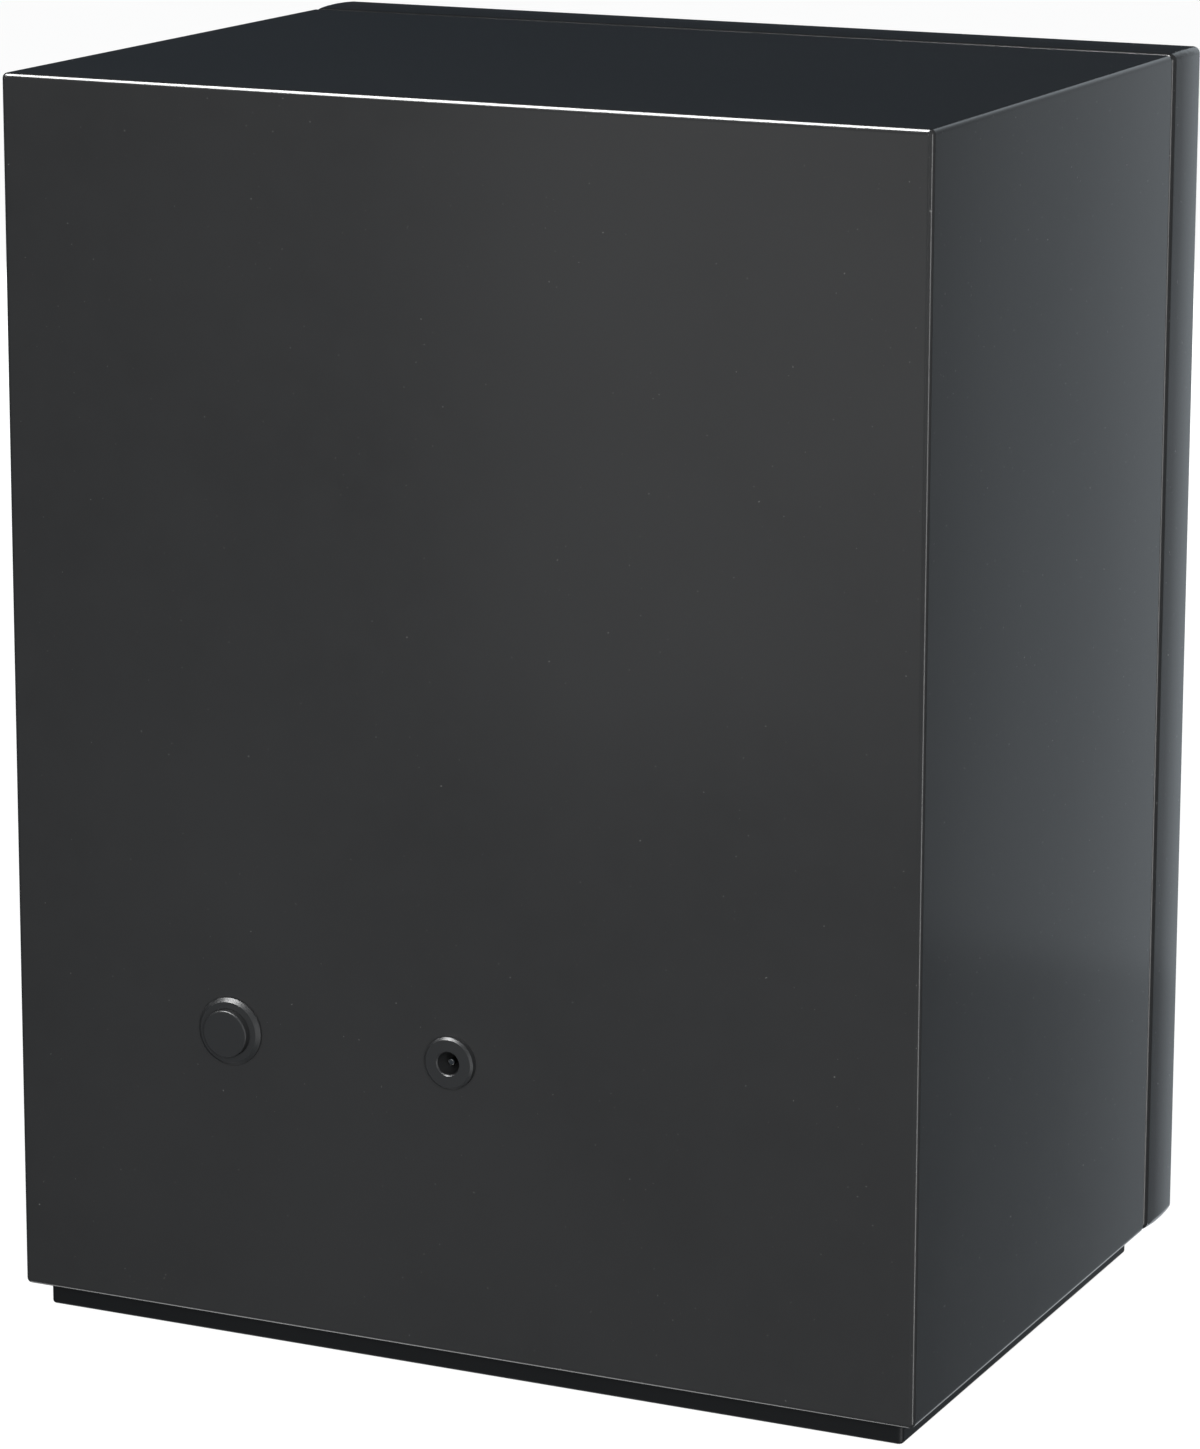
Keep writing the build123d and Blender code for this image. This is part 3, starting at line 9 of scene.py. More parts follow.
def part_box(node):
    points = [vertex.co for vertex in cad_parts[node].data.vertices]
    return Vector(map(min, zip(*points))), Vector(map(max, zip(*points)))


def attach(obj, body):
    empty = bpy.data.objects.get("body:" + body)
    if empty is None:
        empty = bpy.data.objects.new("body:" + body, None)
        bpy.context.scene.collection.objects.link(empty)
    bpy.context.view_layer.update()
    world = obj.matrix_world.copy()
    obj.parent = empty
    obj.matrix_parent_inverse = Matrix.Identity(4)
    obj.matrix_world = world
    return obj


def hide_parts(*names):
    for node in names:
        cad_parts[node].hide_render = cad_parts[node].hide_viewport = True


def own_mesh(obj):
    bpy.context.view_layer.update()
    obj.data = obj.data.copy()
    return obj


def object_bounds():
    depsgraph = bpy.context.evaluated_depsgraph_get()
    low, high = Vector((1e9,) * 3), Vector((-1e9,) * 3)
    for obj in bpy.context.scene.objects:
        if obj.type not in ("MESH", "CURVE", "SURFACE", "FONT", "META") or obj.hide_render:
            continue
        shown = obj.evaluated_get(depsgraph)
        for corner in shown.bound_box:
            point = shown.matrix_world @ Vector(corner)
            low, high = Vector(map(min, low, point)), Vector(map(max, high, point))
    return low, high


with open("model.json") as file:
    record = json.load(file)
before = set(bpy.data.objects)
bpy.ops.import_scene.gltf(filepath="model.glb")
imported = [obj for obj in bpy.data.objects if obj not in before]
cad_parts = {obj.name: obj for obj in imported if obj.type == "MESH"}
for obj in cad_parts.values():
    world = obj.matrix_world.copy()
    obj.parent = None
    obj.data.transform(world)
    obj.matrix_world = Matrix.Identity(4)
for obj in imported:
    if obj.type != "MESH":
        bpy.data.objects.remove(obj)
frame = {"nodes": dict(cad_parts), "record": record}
CAD_LOW, CAD_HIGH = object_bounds()
NODES = frame["nodes"]
MM = 0.001

# ---- soft and fine parts ----
SEAL_WALL = 5.0 * MM
GASKET_WALL = 2.0 * MM
PAPER_T = 0.5 * MM
PAPER_ROWS = 26
PLEAT_PITCH = 4.0 * MM
PLEAT_LEAN = 0.30 * MM
PLEAT_EASE = 0.5                       # how far a fold eases in and out
PLEAT_SHARES = (0.0, 0.04, 0.09, 0.16, 0.3, 0.5, 0.7, 0.84, 0.91, 0.96)
BEADS = 4
BEAD_R = 0.55 * MM
BEAD_WANDER = 0.12 * MM
SCREEN_RIM = 5.5 * MM
NET_PITCH = 2.4 * MM
NET_R = 0.2 * MM
NET_SIDES = 4
TAB_T = 0.95 * MM
TAB_STEPS = 40
TAB_SEWN = 5.0 * MM
TAB_PINCH = 0.75                       # how far the loop closes where it is sewn
TAB_CORNER = 0.35
TAB_SIDES = 16
TACK_ROWS = 3
TACK_PITCH = 1.1 * MM
TACK_INSET = 1.6 * MM
TACK_STITCHES = 6
THREAD_R = 0.18 * MM
STITCH_SHARE = 0.36                    # a stitch's half length as a share of its spacing
STITCH_SLANT = 0.15 * MM
STITCH_BOW = 0.16 * MM
SPRING_WIRE_R = 0.35 * MM
SPRING_TURNS = 5
SPRING_SIDES = 24
SPRING_WIRE_SIDES = 8
FOOT_R = 8.0 * MM
FOOT_SIDES = 64
FOOT_PROFILE = (                       # radius and height, from the underside's centre to the top's, in mm
    (1.0, 0.35), (3.2, 0.32), (4.6, 0.22), (4.8, 0.60), (5.4, 0.60), (5.6, 0.06), (5.9, 0.0),
    (7.2, 0.0), (7.7, 0.12), (7.95, 0.45), (8.0, 0.8), (8.0, 1.5), (7.0, 1.5),
)


# ---- view ----
IMAGE_H = 1449.0                       # the image is taken as 1200 x 1449
SENSOR = 36.0
FOCAL_PX = 5514.6
AXIS_UP_PX = 104.5                     # optical axis above the image's middle
LOOK = Vector((0.4144, -0.8842, -0.2154)).normalized()
DISTANCE = 1.496
AIM_OFFSET = Vector((0.0037, -0.0020, 0.0157))
ROLL = math.radians(0.152)


def make_camera():
    data = bpy.data.cameras.new("camera")
    data.sensor_width = SENSOR
    data.lens = FOCAL_PX * SENSOR / IMAGE_H
    data.shift_y = -AXIS_UP_PX / IMAGE_H
    data.clip_start = 0.05
    data.clip_end = 60.0
    camera = bpy.data.objects.new("camera", data)
    bpy.context.scene.collection.objects.link(camera)
    aim = (CAD_LOW + CAD_HIGH) / 2 + AIM_OFFSET
    turn = LOOK.to_track_quat("-Z", "Y").to_matrix() @ Matrix.Rotation(ROLL, 3, "Z")
    camera.matrix_world = Matrix.Translation(aim - LOOK * DISTANCE) @ turn.to_4x4()
    bpy.context.scene.camera = camera


# ---- light ----
SKY_WAY = Vector((0.41, 0.23, 0.88)).normalized()      # what the rear's upper edge mirrors
UNDER_WAY = Vector((0.41, -0.23, -0.88)).normalized()  # and the rear's lower edge
BESIDE_WAY = Vector((0.21, -0.88, -0.42)).normalized() # and the side's lower edge
SKY_AWAY = 0.62
UNDER_AWAY = 0.4
BESIDE_AWAY = 0.5
BODY_FOOT = 0.007                      # height of the body's lower edge
ROOM_TINT = (0.66, 0.82, 1.0, 1.0)
ROOM_STRENGTH = 0.046
WHITE = (1.0, 1.0, 1.0, 1.0)
FLOOR_REACH = 14.0
FLOOR_GLOW = 0.96
SOFTBOXES = (                          # name, place, aim, width, height, radiance
    ("soft_top", (0.1, 0.4, 1.9), (0, 0, 0.3), 1.2, 1.0, 0.6),
    ("soft_side", (-1.3, -0.9, 0.5), (-0.1, 0, 0.2), 1.0, 0.8, 3.0),
    ("soft_front", (0.7, -1.6, 0.5), (0, 0, 0.2), 1.2, 0.9, 6.0),
    ("soft_rear", (-0.6, 1.5, 0.5), (0, 0, 0.2), 1.2, 0.9, 8.9),
)
STRIP_RIGHT = -0.09
STRIP_TOP = 0.56
STRIP_Y = -0.34
STRIP_STEP = 0.004                     # the strips stand one behind another, and their light adds up
STRIP_TINT = (0.90, 0.99, 1.06)
SIDE_STRIPS = (                        # name, left edge, lower edge, radiance
    ("strip_wide", -0.30, -0.35, 0.14),
    ("strip_middle", -0.235, -0.35, 0.28),
    ("strip_narrow", -0.195, -0.35, 0.26),
    ("strip_upper", -0.31, 0.0, 0.13),
)


def panel(name, at, aim, width, height, radiance, seen_by="both", tint=(1.0, 1.0, 1.0), beam=180.0):
    """A rectangular softbox. seen_by limits it to soft light ("diffuse") or to reflections ("gloss")."""
    data = bpy.data.lights.new(name, "AREA")
    data.shape = "RECTANGLE"
    data.size = width
    data.size_y = height
    slope = math.pi / 2 - math.radians(beam) / 2
    gathered = 1.0 if beam == 180.0 else 2.0 / (2.0 + (2.0 * slope - math.pi) * math.tan(slope))
    data.energy = radiance * math.pi * width * height / gathered
    data.spread = math.radians(beam)
    data.color = tint
    lamp = bpy.data.objects.new(name, data)
    bpy.context.scene.collection.objects.link(lamp)
    at = Vector(at)
    turn = (Vector(aim) - at).to_track_quat("-Z", "Y").to_matrix().to_4x4()
    lamp.matrix_world = Matrix.Translation(at) @ turn
    lamp.visible_camera = False
    lamp.visible_transmission = False
    lamp.visible_diffuse = seen_by != "gloss"
    lamp.visible_glossy = seen_by != "diffuse"
    return lamp


def make_world():
    """White behind the object, and a dim, slightly blue room in its reflections and shade."""
    world = bpy.data.worlds.new("studio")
    world.use_nodes = True
    tree = world.node_tree
    room = tree.nodes["Background"]
    room.inputs["Color"].default_value = ROOM_TINT
    room.inputs["Strength"].default_value = ROOM_STRENGTH
    white = tree.nodes.new("ShaderNodeBackground")
    white.inputs["Color"].default_value = WHITE
    path = tree.nodes.new("ShaderNodeLightPath")
    choose = tree.nodes.new("ShaderNodeMixShader")
    tree.links.new(path.outputs["Is Camera Ray"], choose.inputs["Fac"])
    tree.links.new(room.outputs["Background"], choose.inputs[1])
    tree.links.new(white.outputs["Background"], choose.inputs[2])
    tree.links.new(choose.outputs["Shader"], tree.nodes["World Output"].inputs["Surface"])
    bpy.context.scene.world = world
    bpy.context.scene.view_settings.view_transform = "Standard"


def make_lights():
    for softbox in SOFTBOXES:
        panel(*softbox, "diffuse")
    above = Vector((-0.08, 0.03, CAD_HIGH.z))
    panel("sky", above + SKY_WAY * SKY_AWAY, above, 0.42, 0.66, 42, "gloss", beam=78.0)
    for i, (name, left, low, radiance) in enumerate(SIDE_STRIPS):
        width, height = STRIP_RIGHT - left, STRIP_TOP - low
        x, z = (STRIP_RIGHT + left) / 2, (STRIP_TOP + low) / 2
        panel(name, (x, STRIP_Y - i * STRIP_STEP, z), (x, 0, z), width, height, radiance, "gloss", STRIP_TINT)
    panel("front_card", (0.10, -1.7, 0.05), (0, -0.1, 0.2), 0.5, 0.6, 0.9, "gloss")
    panel("edge_strip", (-1.15, 0.42, 0.05), (-0.13, 0.09, 0.17), 0.22, 1.3, 6.0, "gloss")
    below = Vector((0.0, CAD_HIGH.y, BODY_FOOT))
    panel("under_rear", below + UNDER_WAY * UNDER_AWAY, below, 0.40, 0.30, 2.6, "gloss", beam=56.0)
    beside = Vector((CAD_LOW.x, 0.0, BODY_FOOT))
    panel("under_side", beside + BESIDE_WAY * BESIDE_AWAY, beside, 0.40, 0.30, 0.45, "gloss", beam=90.0)
    panel("rear_card", (0.38, 1.3, 0.12), (0.38, 0, 0.12), 0.45, 0.5, 0.35, "gloss")


def make_floor():
    """Plain pale floor, wide enough to fill the view behind the object."""
    mesh = bpy.data.meshes.new("floor")
    corners = [(x * FLOOR_REACH, y * FLOOR_REACH, 0) for x, y in ((-1, -1), (1, -1), (1, 1), (-1, 1))]
    mesh.from_pydata(corners, [], [(0, 1, 2, 3)])
    floor = bpy.data.objects.new("floor", mesh)
    bpy.context.scene.collection.objects.link(floor)
    floor.visible_glossy = False
    floor.visible_diffuse = False
    floor.visible_shadow = False
    return floor


# ---- materials ----
class Surface:
    """Builds one node material. Textures read the piece's own metres, so they ride with it."""

    def __init__(self, name):
        self.material = bpy.data.materials.new(name)
        self.material.use_nodes = True
        self.tree = self.material.node_tree
        self.shader = self.tree.nodes["Principled BSDF"]
        self.place = self.tree.nodes.new("ShaderNodeTexCoord").outputs["Object"]
        self.normal = None

    def node(self, kind, **settings):
        made = self.tree.nodes.new(kind)
        for key, value in settings.items():
            setattr(made, key, value)
        return made

    def link(self, a, b):
        self.tree.links.new(a, b)

    def scaled(self, stretch):
        """Coordinates multiplied per axis."""
        mapping = self.node("ShaderNodeMapping")
        mapping.inputs["Scale"].default_value = stretch
        self.link(self.place, mapping.inputs["Vector"])
        return mapping.outputs["Vector"]

    def noise(self, size, detail=2.0, rough=0.5, stretch=None):
        """Noise whose features are about `size` metres across."""
        made = self.node("ShaderNodeTexNoise")
        made.inputs["Scale"].default_value = 1.0 / size
        made.inputs["Detail"].default_value = detail
        made.inputs["Roughness"].default_value = rough
        self.link(self.scaled(stretch) if stretch else self.place, made.inputs["Vector"])
        return made.outputs["Fac"]

    def cells(self, size, feature="F1", randomness=1.0):
        made = self.node("ShaderNodeTexVoronoi", feature=feature)
        made.inputs["Scale"].default_value = 1.0 / size
        made.inputs["Randomness"].default_value = randomness
        self.link(self.place, made.inputs["Vector"])
        return made.outputs["Distance"]

    def waves(self, pitch, axis, profile="SIN", distortion=0.0):
        """Stripes across one axis, one every `pitch` metres."""
        made = self.node("ShaderNodeTexWave", wave_type="BANDS", bands_direction=axis, wave_profile=profile)
        made.inputs["Scale"].default_value = math.tau / 20.0 / pitch
        made.inputs["Distortion"].default_value = distortion
        self.link(self.place, made.inputs["Vector"])
        return made.outputs["Fac"]

    def spread(self, value, low, high, from_low=0.3, from_high=0.7):
        """Maps a 0..1 texture to the range low..high."""
        made = self.node("ShaderNodeMapRange")
        made.inputs["From Min"].default_value = from_low
        made.inputs["From Max"].default_value = from_high
        made.inputs["To Min"].default_value = low
        made.inputs["To Max"].default_value = high
        self.link(value, made.inputs["Value"])
        return made.outputs["Result"]

    def math(self, operation, a, b):
        made = self.node("ShaderNodeMath", operation=operation)
        for socket, value in zip(made.inputs, (a, b)):
            if isinstance(value, (int, float)):
                socket.default_value = value
            else:
                self.link(value, socket)
        return made.outputs["Value"]

    def mix(self, share, a, b):
        """Colour between a and b, each a colour or a socket."""
        made = self.node("ShaderNodeMix", data_type="RGBA")
        self.link(share, made.inputs["Factor"])
        for socket, value in ((made.inputs[6], a), (made.inputs[7], b)):
            if isinstance(value, bpy.types.NodeSocket):
                self.link(value, socket)
            else:
                socket.default_value = (*value, 1.0)
        return made.outputs[2]

    def bump(self, height, depth, strength=1.0):
        """Adds a relief of `depth` metres on top of the reliefs so far."""
        made = self.node("ShaderNodeBump")
        made.inputs["Strength"].default_value = strength
        made.inputs["Distance"].default_value = depth
        self.link(height, made.inputs["Height"])
        if self.normal is not None:
            self.link(self.normal, made.inputs["Normal"])
        self.normal = made.outputs["Normal"]

    def finish(self, colour, roughness, **uniform):
        """Links colour, roughness and relief. Keyword values are set on the shader's own sockets."""
        self.link(colour, self.shader.inputs["Base Color"])
        self.link(roughness, self.shader.inputs["Roughness"])
        if self.normal is not None:
            self.link(self.normal, self.shader.inputs["Normal"])
        for key, value in uniform.items():
            self.shader.inputs[key.replace("_", " ")].default_value = value
        return self.material


def shade(colour, factor):
    return tuple(min(1.0, c * factor) for c in colour)


def moulded(name, colour, rough, grain=0.35 * MM, relief=0.004 * MM, dust=0.0, **uniform):
    """Moulded plastic: spark-eroded grain, a slow drift in tone and gloss, and a few specks of dust."""
    s = Surface(name)
    drift = s.noise(90 * MM, 3.0)
    cloud = s.noise(9 * MM, 4.0, 0.6)
    base = s.mix(s.spread(drift, 0.0, 1.0), shade(colour, 0.93), shade(colour, 1.08))
    base = s.mix(s.spread(cloud, 0.0, 0.35), base, shade(colour, 1.12))
    gloss = s.math("ADD", s.spread(cloud, rough - 0.012, rough + 0.012), s.spread(drift, -0.006, 0.006))
    if dust:
        speck = s.spread(s.noise(1.1 * MM, 2.0, 0.6), 0.0, dust, 0.735, 0.76)
        base = s.mix(speck, base, (0.30, 0.30, 0.29))
    s.bump(s.noise(grain, 2.0, 0.6), relief)
    s.bump(s.noise(45 * MM, 1.0), 0.006 * MM)
    return s.finish(base, gloss, **uniform)


def metal(name, colour, rough, stretch, relief=0.003 * MM, metallic=1.0):
    """Metal with fine drawn or turned marks and a slight cloudiness."""
    s = Surface(name)
    marks = s.noise(0.25 * MM, 3.0, 0.6, stretch)
    cloud = s.noise(4 * MM, 4.0, 0.6)
    base = s.mix(s.spread(cloud, 0.0, 1.0), shade(colour, 0.88), shade(colour, 1.06))
    gloss = s.math("ADD", s.spread(marks, rough - 0.06, rough + 0.06), s.spread(cloud, -0.04, 0.04))
    s.bump(marks, relief)
    return s.finish(base, gloss, Metallic=metallic)


def foam_material(name, colour):
    """Open-cell foam: rounded pores of two sizes, with the colour painted darker in the pores as shade and
    lighter on the struts.
    """
    s = Surface(name)
    pores = s.cells(0.9 * MM)
    fine = s.cells(0.35 * MM)
    # painted shade: the pores are darkened and the struts between them lightened, following the pore relief
    base = s.mix(s.spread(pores, 0.0, 1.0, 0.1, 0.6), shade(colour, 0.55), shade(colour, 1.2))
    gloss = s.spread(s.noise(2 * MM, 3.0), 0.86, 0.96)
    s.bump(pores, 0.18 * MM)
    s.bump(fine, 0.06 * MM)
    return s.finish(base, gloss, Sheen_Weight=0.25)


def paper_material(name, colour):
    """Melt-blown paper: matted fibres, slightly greyer in patches, with painted shade where the fibres dip.
    """
    s = Surface(name)
    fibres = s.noise(0.45 * MM, 5.0, 0.7, (1.0, 1.0, 0.25))
    cross = s.noise(0.45 * MM, 5.0, 0.7, (0.25, 0.25, 1.0))
    weave = s.math("MAXIMUM", fibres, cross)
    patches = s.noise(14 * MM, 3.0)
    base = s.mix(s.spread(patches, 0.0, 1.0), shade(colour, 0.93), shade(colour, 1.03))
    # painted shade: the colour is darkened most where the fibre relief is low, between the fibres
    base = s.mix(s.spread(weave, 0.0, 0.5), shade(colour, 0.8), base)
    gloss = s.spread(weave, 0.82, 0.95)
    s.bump(weave, 0.05 * MM)
    return s.finish(base, gloss, Sheen_Weight=0.15)


def webbing_material(name, colour):
    """Woven nylon tape: ribs across and along, with painted shade darkening the ground between the yarns."""
    s = Surface(name)
    warp = s.waves(0.8 * MM, "X")
    weft = s.waves(0.6 * MM, "Z")
    yarn = s.math("MULTIPLY", warp, weft)
    fuzz = s.noise(0.2 * MM, 3.0, 0.7)
    # painted shade: the ground between the yarns is darkened and the yarn crowns lightened, following the rib
    # relief
    base = s.mix(s.spread(yarn, 0.0, 1.0, 0.1, 0.8), shade(colour, 0.5), shade(colour, 1.35))
    base = s.mix(s.spread(fuzz, 0.0, 0.3), base, shade(colour, 1.9))
    gloss = s.spread(fuzz, 0.62, 0.82)
    s.bump(yarn, 0.16 * MM)
    s.bump(fuzz, 0.03 * MM)
    return s.finish(base, gloss, Sheen_Weight=0.35)


def board_material(name, mask):
    """Circuit board: solder mask over copper runs, with rows of plated holes."""
    s = Surface(name)
    across = s.spread(s.waves(2.4 * MM, "X", distortion=1.5), 0.0, 1.0, 0.78, 0.84)
    along = s.spread(s.waves(3.6 * MM, "Z", distortion=1.5), 0.0, 1.0, 0.80, 0.86)
    field = s.spread(s.noise(16 * MM, 1.0), 0.0, 1.0, 0.49, 0.51)
    runs = s.math("MAXIMUM", s.math("MULTIPLY", across, field), along)
    holes = s.spread(s.cells(3.1 * MM, randomness=0.6), 1.0, 0.0, 0.10, 0.13)
    base = s.mix(runs, mask, shade(mask, 1.9))
    base = s.mix(holes, base, (0.52, 0.46, 0.34))
    gloss = s.spread(s.noise(3 * MM, 3.0), 0.24, 0.36)
    s.bump(runs, 0.04 * MM)
    s.bump(holes, 0.05 * MM)
    return s.finish(base, gloss)


def winding_material(name, colour):
    """Enamelled copper wire laid side by side, with painted shade in the grooves between the wires."""
    s = Surface(name)
    wires = s.waves(0.45 * MM, "Y", distortion=0.4)
    cloud = s.noise(3 * MM, 3.0)
    # painted shade: the grooves between neighbouring wires are darkened, following the wire relief
    base = s.mix(s.spread(wires, 0.0, 1.0, 0.05, 0.5), shade(colour, 0.25), colour)
    base = s.mix(s.spread(cloud, 0.0, 0.4), base, shade(colour, 0.7))
    gloss = s.spread(cloud, 0.22, 0.36)
    s.bump(wires, 0.2 * MM)
    return s.finish(base, gloss, Metallic=0.85, Coat_Weight=0.5, Coat_Roughness=0.15)


def make_materials():
    made = {}
    shell = (0.0325, 0.033, 0.0335)
    made["shell_plastic"] = moulded("shell_plastic", shell, 0.19, dust=0.5)
    made["cover_plastic"] = moulded("cover_plastic", shell, 0.19, dust=0.5)
    made["plinth_plastic"] = moulded("plinth_plastic", (0.010, 0.0105, 0.011), 0.5)
    made["inner_plastic"] = moulded("inner_plastic", (0.022, 0.023, 0.024), 0.48, relief=0.008 * MM)
    made["button_plastic"] = moulded("button_plastic", (0.027, 0.028, 0.029), 0.4, relief=0.003 * MM)
    made["fan_plastic"] = moulded("fan_plastic", (0.55, 0.56, 0.57), 0.45)
    made["rubber"] = moulded("rubber", (0.018, 0.018, 0.018), 0.72, grain=0.2 * MM, relief=0.01 * MM)
    made["foam"] = foam_material("foam", (0.11, 0.11, 0.115))
    made["steel"] = metal("steel", (0.6, 0.6, 0.61), 0.32, (1, 1, 0.08))
    made["dark_steel"] = metal("dark_steel", (0.05, 0.05, 0.052), 0.42, (1, 0.1, 1), metallic=0.6)
    made["nickel"] = metal("nickel", (0.80, 0.78, 0.75), 0.16, (1, 0.1, 1))
    made["copper"] = winding_material("copper", (0.72, 0.34, 0.15))
    made["filter_paper"] = paper_material("filter_paper", (0.80, 0.80, 0.77))
    made["filter_card"] = moulded("filter_card", (0.72, 0.72, 0.70), 0.7, grain=0.4 * MM, relief=0.02 * MM)
    made["webbing"] = webbing_material("webbing", (0.09, 0.09, 0.1))
    made["board"] = board_material("board", (0.015, 0.10, 0.04))
    made["chip"] = moulded("chip", (0.02, 0.02, 0.022), 0.5)
    made["connector"] = moulded("connector", (0.72, 0.69, 0.6), 0.4)
    made["cable"] = moulded("cable", (0.03, 0.03, 0.03), 0.5)
    return made


def dress(materials):
    """Gives every CAD node the material of its slot."""
    for row in frame["record"]["subparts"]:
        mesh = NODES[row["node"]].data
        mesh.materials.clear()
        mesh.materials.append(materials[row["material_slot"]])


# ---- pieces ----
def add_piece(name, bm, body, slot, replaced=()):
    """Turns a bmesh into a smooth-shaded piece that rides on a body."""
    bmesh.ops.recalc_face_normals(bm, faces=bm.faces)
    for face in bm.faces:
        face.smooth = True
    mesh = bpy.data.meshes.new(name)
    bm.to_mesh(mesh)
    bm.free()
    mesh.materials.append(materials[slot])
    piece = bpy.data.objects.new(name, mesh)
    bpy.context.scene.collection.objects.link(piece)
    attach(piece, body)
    if replaced:
        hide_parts(*replaced)
    return piece


def skin(bm, rings, closed_across=True, closed_along=False):
    """Joins rings of points, each with the same count, with quads. Returns the rows of vertices."""
    rows = [[bm.verts.new(point) for point in ring] for ring in rings]
    count = len(rows[0])
    last_row = len(rows) if closed_along else len(rows) - 1
    last_column = count if closed_across else count - 1
    for i in range(last_row):
        here, there = rows[i], rows[(i + 1) % len(rows)]
        for j in range(last_column):
            k = (j + 1) % count
            bm.faces.new((here[j], here[k], there[k], there[j]))
    return rows


def rod(bm, line, radius, sides=6):
    """A capped tube along a line of points that runs mostly along one axis."""
    rings = []
    for i, point in enumerate(line):
        ahead = line[min(i + 1, len(line) - 1)] - line[max(i - 1, 0)]
        side = ahead.cross(Vector((0, 1, 0))).normalized()
        up = side.cross(ahead).normalized()
        turns = [math.tau * k / sides for k in range(sides)]
        rings.append([point + side * radius * math.cos(a) + up * radius * math.sin(a) for a in turns])
    rows = skin(bm, rings)
    bm.faces.new(rows[0])
    bm.faces.new(rows[-1])


def rounded_profile(width, depth, power, count=20):
    """Points round a soft-cornered oblong, centred on the origin."""
    points = []
    for k in range(count):
        a = math.tau * k / count
        c, d = math.cos(a), math.sin(a)
        across = math.copysign(abs(c) ** power, c) * width / 2
        through = math.copysign(abs(d) ** power, d) * depth / 2
        points.append((across, through))
    return points


def foam_ring(bm, low, high, wall, steps=24, swell=0.06 * MM, seed=0.0):
    """A soft-edged strip of foam round an oblong, between two corners of its box."""
    profile = rounded_profile(wall, high.y - low.y, 0.45)
    middle_y = (low.y + high.y) / 2
    inset = wall / 2
    corners = [(low.x + inset, low.z + inset), (high.x - inset, low.z + inset),
               (high.x - inset, high.z - inset), (low.x + inset, high.z - inset)]
    centre = ((low.x + high.x) / 2, (low.z + high.z) / 2)
    rings = []
    for k, (x, z) in enumerate(corners):
        next_x, next_z = corners[(k + 1) % 4]
        for i in range(steps):
            t = i / steps
            at_x, at_z = x + (next_x - x) * t, z + (next_z - z) * t
            out_x = math.copysign(1, at_x - centre[0]) if i == 0 or k in (1, 3) else 0
            out_z = math.copysign(1, at_z - centre[1]) if i == 0 or k in (0, 2) else 0
            give = 1 - swell / wall * (1 + noise.noise(Vector((at_x * 40, at_z * 40, seed))))
            rings.append([(at_x + out_x * u * give, middle_y + v * give, at_z + out_z * u * give)
                          for u, v in profile])
    skin(bm, rings, closed_along=True)


def make_seal():
    low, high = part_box("filter_seal")
    bm = bmesh.new()
    foam_ring(bm, low, high, SEAL_WALL)
    add_piece("seal_foam", bm, "filter", "foam", ("filter_seal",))


def make_gasket():
    """Two rings of foam; each ring's box comes from the CAD node's own corners."""
    points = [vertex.co for vertex in NODES["bay_gasket"].data.vertices]
    heights = sorted({round(point.z, 5) for point in points})
    split = (heights[3] + heights[4]) / 2
    bm = bmesh.new()
    for seed, part in enumerate(([p for p in points if p.z < split], [p for p in points if p.z > split])):
        low = Vector([min(p[i] for p in part) for i in range(3)])
        high = Vector([max(p[i] for p in part) for i in range(3)])
        foam_ring(bm, low, high, GASKET_WALL, swell=0.03 * MM, seed=5.0 + seed)
    add_piece("gasket_foam", bm, "housing", "foam", ("bay_gasket",))


def pleat_line(left, right, front, back, count, tip, row):
    """One row of the pleated sheet's middle line: straight flanks and rounded folds."""
    pitch = (right - left) / count
    points = []
    for i in range(count):
        start, end = (front, back) if i % 2 == 0 else (back, front)
        lean = PLEAT_LEAN * noise.noise(Vector((i * 1.7, row * 0.21, 3.0)))
        for share in PLEAT_SHARES:
            x = left + (i + share) * pitch + lean * math.sin(math.pi * share)
            ease = (1 - math.cos(math.pi * share)) / 2
            y = start + (end - start) * (share * (1 - tip) + ease * tip)
            points.append(Vector((x, y, 0)))
    last = front if count % 2 == 0 else back
    points.append(Vector((right, last, 0)))
    return points


def make_filter_paper():
    low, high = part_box("filter_media")
    half = PAPER_T / 2
    count = round((high.x - low.x) / PLEAT_PITCH)
    rows, length = [], 0.0
    for row in range(PAPER_ROWS + 1):
        line = pleat_line(low.x + half, high.x - half, low.y + half, high.y - half, count, PLEAT_EASE, row)
        z = low.z + (high.z - low.z) * row / PAPER_ROWS
        length += sum((b - a).length for a, b in zip(line, line[1:])) / (PAPER_ROWS + 1)
        near, far = [], []
        for i, point in enumerate(line):
            ahead = (line[min(i + 1, len(line) - 1)] - line[max(i - 1, 0)]).normalized()
            out = Vector((ahead.y, -ahead.x, 0)) * half
            near.append((point.x + out.x, point.y + out.y, z))
            far.append((point.x - out.x, point.y - out.y, z))
        rows.append(near + far[::-1])
    bm = bmesh.new()
    made = skin(bm, rows)
    for end in (made[0], made[-1]):
        for i in range(len(end) // 2 - 1):
            bm.faces.new((end[i], end[i + 1], end[-2 - i], end[-1 - i]))
    paper = add_piece("pleated_paper", bm, "filter", "filter_paper", ("filter_media",))
    bm = bmesh.new()
    for y in (low.y + BEAD_R, high.y - BEAD_R):
        for i in range(1, BEADS + 1):
            z = low.z + (high.z - low.z) * i / (BEADS + 1)
            steps = count * 2
            line = []
            for k in range(steps + 1):
                x = low.x + PAPER_T + (high.x - low.x - 2 * PAPER_T) * k / steps
                line.append(Vector((x, y, z + BEAD_WANDER * noise.noise(Vector((x * 300, y * 50, i))))))
            rod(bm, line, BEAD_R)
    beads = add_piece("glue_beads", bm, "filter", "filter_card")


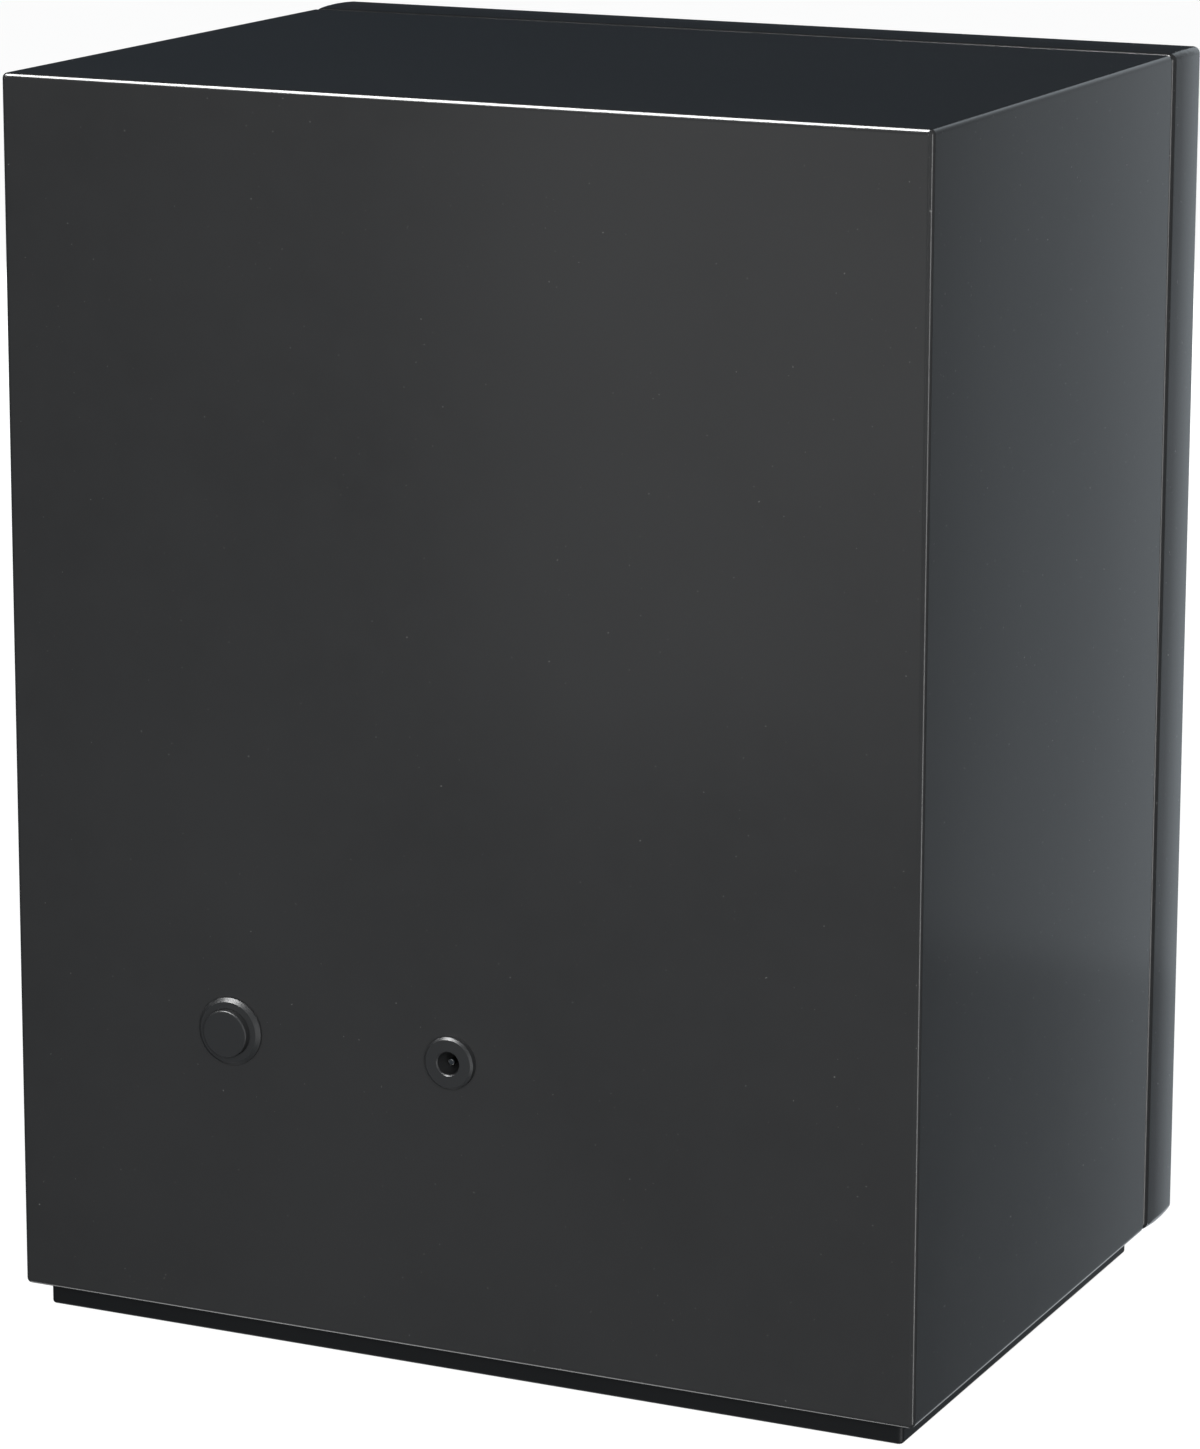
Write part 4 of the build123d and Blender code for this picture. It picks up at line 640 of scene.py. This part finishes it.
def make_screen_net():
    """Fine net inside the washable screen's lattice, its strands passing over and under."""
    low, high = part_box("pre_filter")
    x0, x1 = low.x + SCREEN_RIM, high.x - SCREEN_RIM
    z0, z1 = low.z + SCREEN_RIM, high.z - SCREEN_RIM
    middle = (low.y + high.y) / 2
    columns = round((x1 - x0) / NET_PITCH)
    rows = round((z1 - z0) / NET_PITCH)
    bm = bmesh.new()
    for i in range(columns):
        x = x0 + (x1 - x0) * (i + 0.5) / columns
        line = []
        for j in range(rows + 1):
            over = NET_R if (i + j) % 2 == 0 else -NET_R
            line.append(Vector((x, middle + over, z0 + (z1 - z0) * (j - 0.5 if j else 0) / rows)))
        line.append(Vector((x, middle, z1)))
        rod(bm, line, NET_R, NET_SIDES)
    for j in range(rows):
        z = z0 + (z1 - z0) * (j + 0.5) / rows
        line = []
        for i in range(columns + 1):
            over = -NET_R if (i + j) % 2 == 0 else NET_R
            line.append(Vector((x0 + (x1 - x0) * (i - 0.5 if i else 0) / columns, middle + over, z)))
        line.append(Vector((x1, middle, z)))
        rod(bm, line, NET_R, NET_SIDES)
    add_piece("screen_net", bm, "filter", "inner_plastic")


def make_tab():
    """A webbing loop laid flat, sewn through at both ends with bar tacks."""
    low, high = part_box("pull_tab")
    half = TAB_T / 2
    left, right = low.x + half, high.x - half
    front, back = low.y + half, high.y - half
    bend = (back - front) / 2
    line = []
    for start, end, level, draw in ((right, left, back, -bend), (left, right, front, bend)):
        for k in range(TAB_STEPS + 1):
            x = start + (end - start) * (k / TAB_STEPS)
            pinch = max(0.0, 1.0 - min(x - left, right - x) / TAB_SEWN)
            line.append(Vector((x, level + draw * TAB_PINCH * pinch ** 2, 0)))
    rings = []
    for i, point in enumerate(line):
        ahead = (line[(i + 1) % len(line)] - line[i - 1]).normalized()
        out = Vector((-ahead.y, ahead.x, 0))
        ring = []
        for u, v in rounded_profile(high.z - low.z, TAB_T, TAB_CORNER, TAB_SIDES):
            ring.append(Vector((point.x + out.x * v, point.y + out.y * v, (low.z + high.z) / 2 + u)))
        rings.append(ring)
    bm = bmesh.new()
    skin(bm, rings, closed_along=True)
    tab = add_piece("webbing_tab", bm, "filter", "webbing", ("pull_tab",))
    bm = bmesh.new()
    for side in (-1, 1):
        for row in range(TACK_ROWS):
            x = side * (high.x - TACK_INSET - TACK_PITCH * row)
            for k in range(TACK_STITCHES):
                z = low.z + (high.z - low.z) * (k + 0.5) / TACK_STITCHES
                span = (high.z - low.z) / TACK_STITCHES * STITCH_SHARE
                near = line[min(range(TAB_STEPS + 1, len(line)), key=lambda n: abs(line[n].x - x))].y - half
                knots = [Vector((x + STITCH_SLANT * t, near + STITCH_BOW * t * t, z + span * t))
                         for t in (-1, -0.5, 0, 0.5, 1)]
                rod(bm, knots, THREAD_R)
    stitches = add_piece("tab_stitches", bm, "filter", "filter_card")


def make_spring():
    """Closed-end coil, its turns closing up towards both ends."""
    low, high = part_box("button_spring")
    x, z = (low.x + high.x) / 2, (low.z + high.z) / 2
    radius = (high.x - low.x) / 2 - SPRING_WIRE_R
    span = high.y - low.y - 2 * SPRING_WIRE_R
    steps = SPRING_TURNS * SPRING_SIDES
    along = Vector((0, 1, 0))
    rings = []
    for k in range(steps + 1):
        a = math.tau * k / SPRING_SIDES
        t = k / steps
        y = low.y + SPRING_WIRE_R + span * (3 * t * t - 2 * t * t * t)
        out = Vector((math.cos(a), 0, math.sin(a)))
        centre = Vector((x, y, z)) + out * radius
        turns = [math.tau * n / SPRING_WIRE_SIDES for n in range(SPRING_WIRE_SIDES)]
        rings.append([centre + (out * math.cos(b) + along * math.sin(b)) * SPRING_WIRE_R for b in turns])
    bm = bmesh.new()
    rows = skin(bm, rings)
    bm.faces.new(rows[0])
    bm.faces.new(rows[-1])
    coil = add_piece("coil_spring", bm, "housing", "steel", ("button_spring",))
    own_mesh(coil)


def make_feet():
    """Moulded rubber discs with a raised rim, a groove and a shallow dish underneath."""
    low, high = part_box("foot_pads")
    bm = bmesh.new()
    for x in (low.x + FOOT_R, high.x - FOOT_R):
        for y in (low.y + FOOT_R, high.y - FOOT_R):
            rings = []
            for k in range(FOOT_SIDES):
                a = math.tau * k / FOOT_SIDES
                rings.append([Vector((x + r * MM * math.cos(a), y + r * MM * math.sin(a), low.z + z * MM))
                              for r, z in FOOT_PROFILE])
            rows = skin(bm, rings, closed_across=False, closed_along=True)
            bm.faces.new([row[0] for row in rows])
            bm.faces.new([row[-1] for row in rows])
    add_piece("rubber_feet", bm, "housing", "rubber", ("foot_pads",))


def floor_material():
    s = Surface("floor")
    tone = s.spread(s.noise(0.4, 2.0), 0.0, 1.0)
    base = s.mix(tone, (0.20, 0.20, 0.20), (0.22, 0.22, 0.22))
    gloss = s.spread(s.noise(0.05, 3.0), 0.75, 0.85)
    return s.finish(base, gloss, Emission_Color=WHITE, Emission_Strength=FLOOR_GLOW,
                    Specular_IOR_Level=0.0)


make_camera()
make_world()
make_lights()
materials = make_materials()
dress(materials)
make_floor().data.materials.append(floor_material())
make_seal()
make_gasket()
make_filter_paper()
make_screen_net()
make_tab()
make_spring()
make_feet()
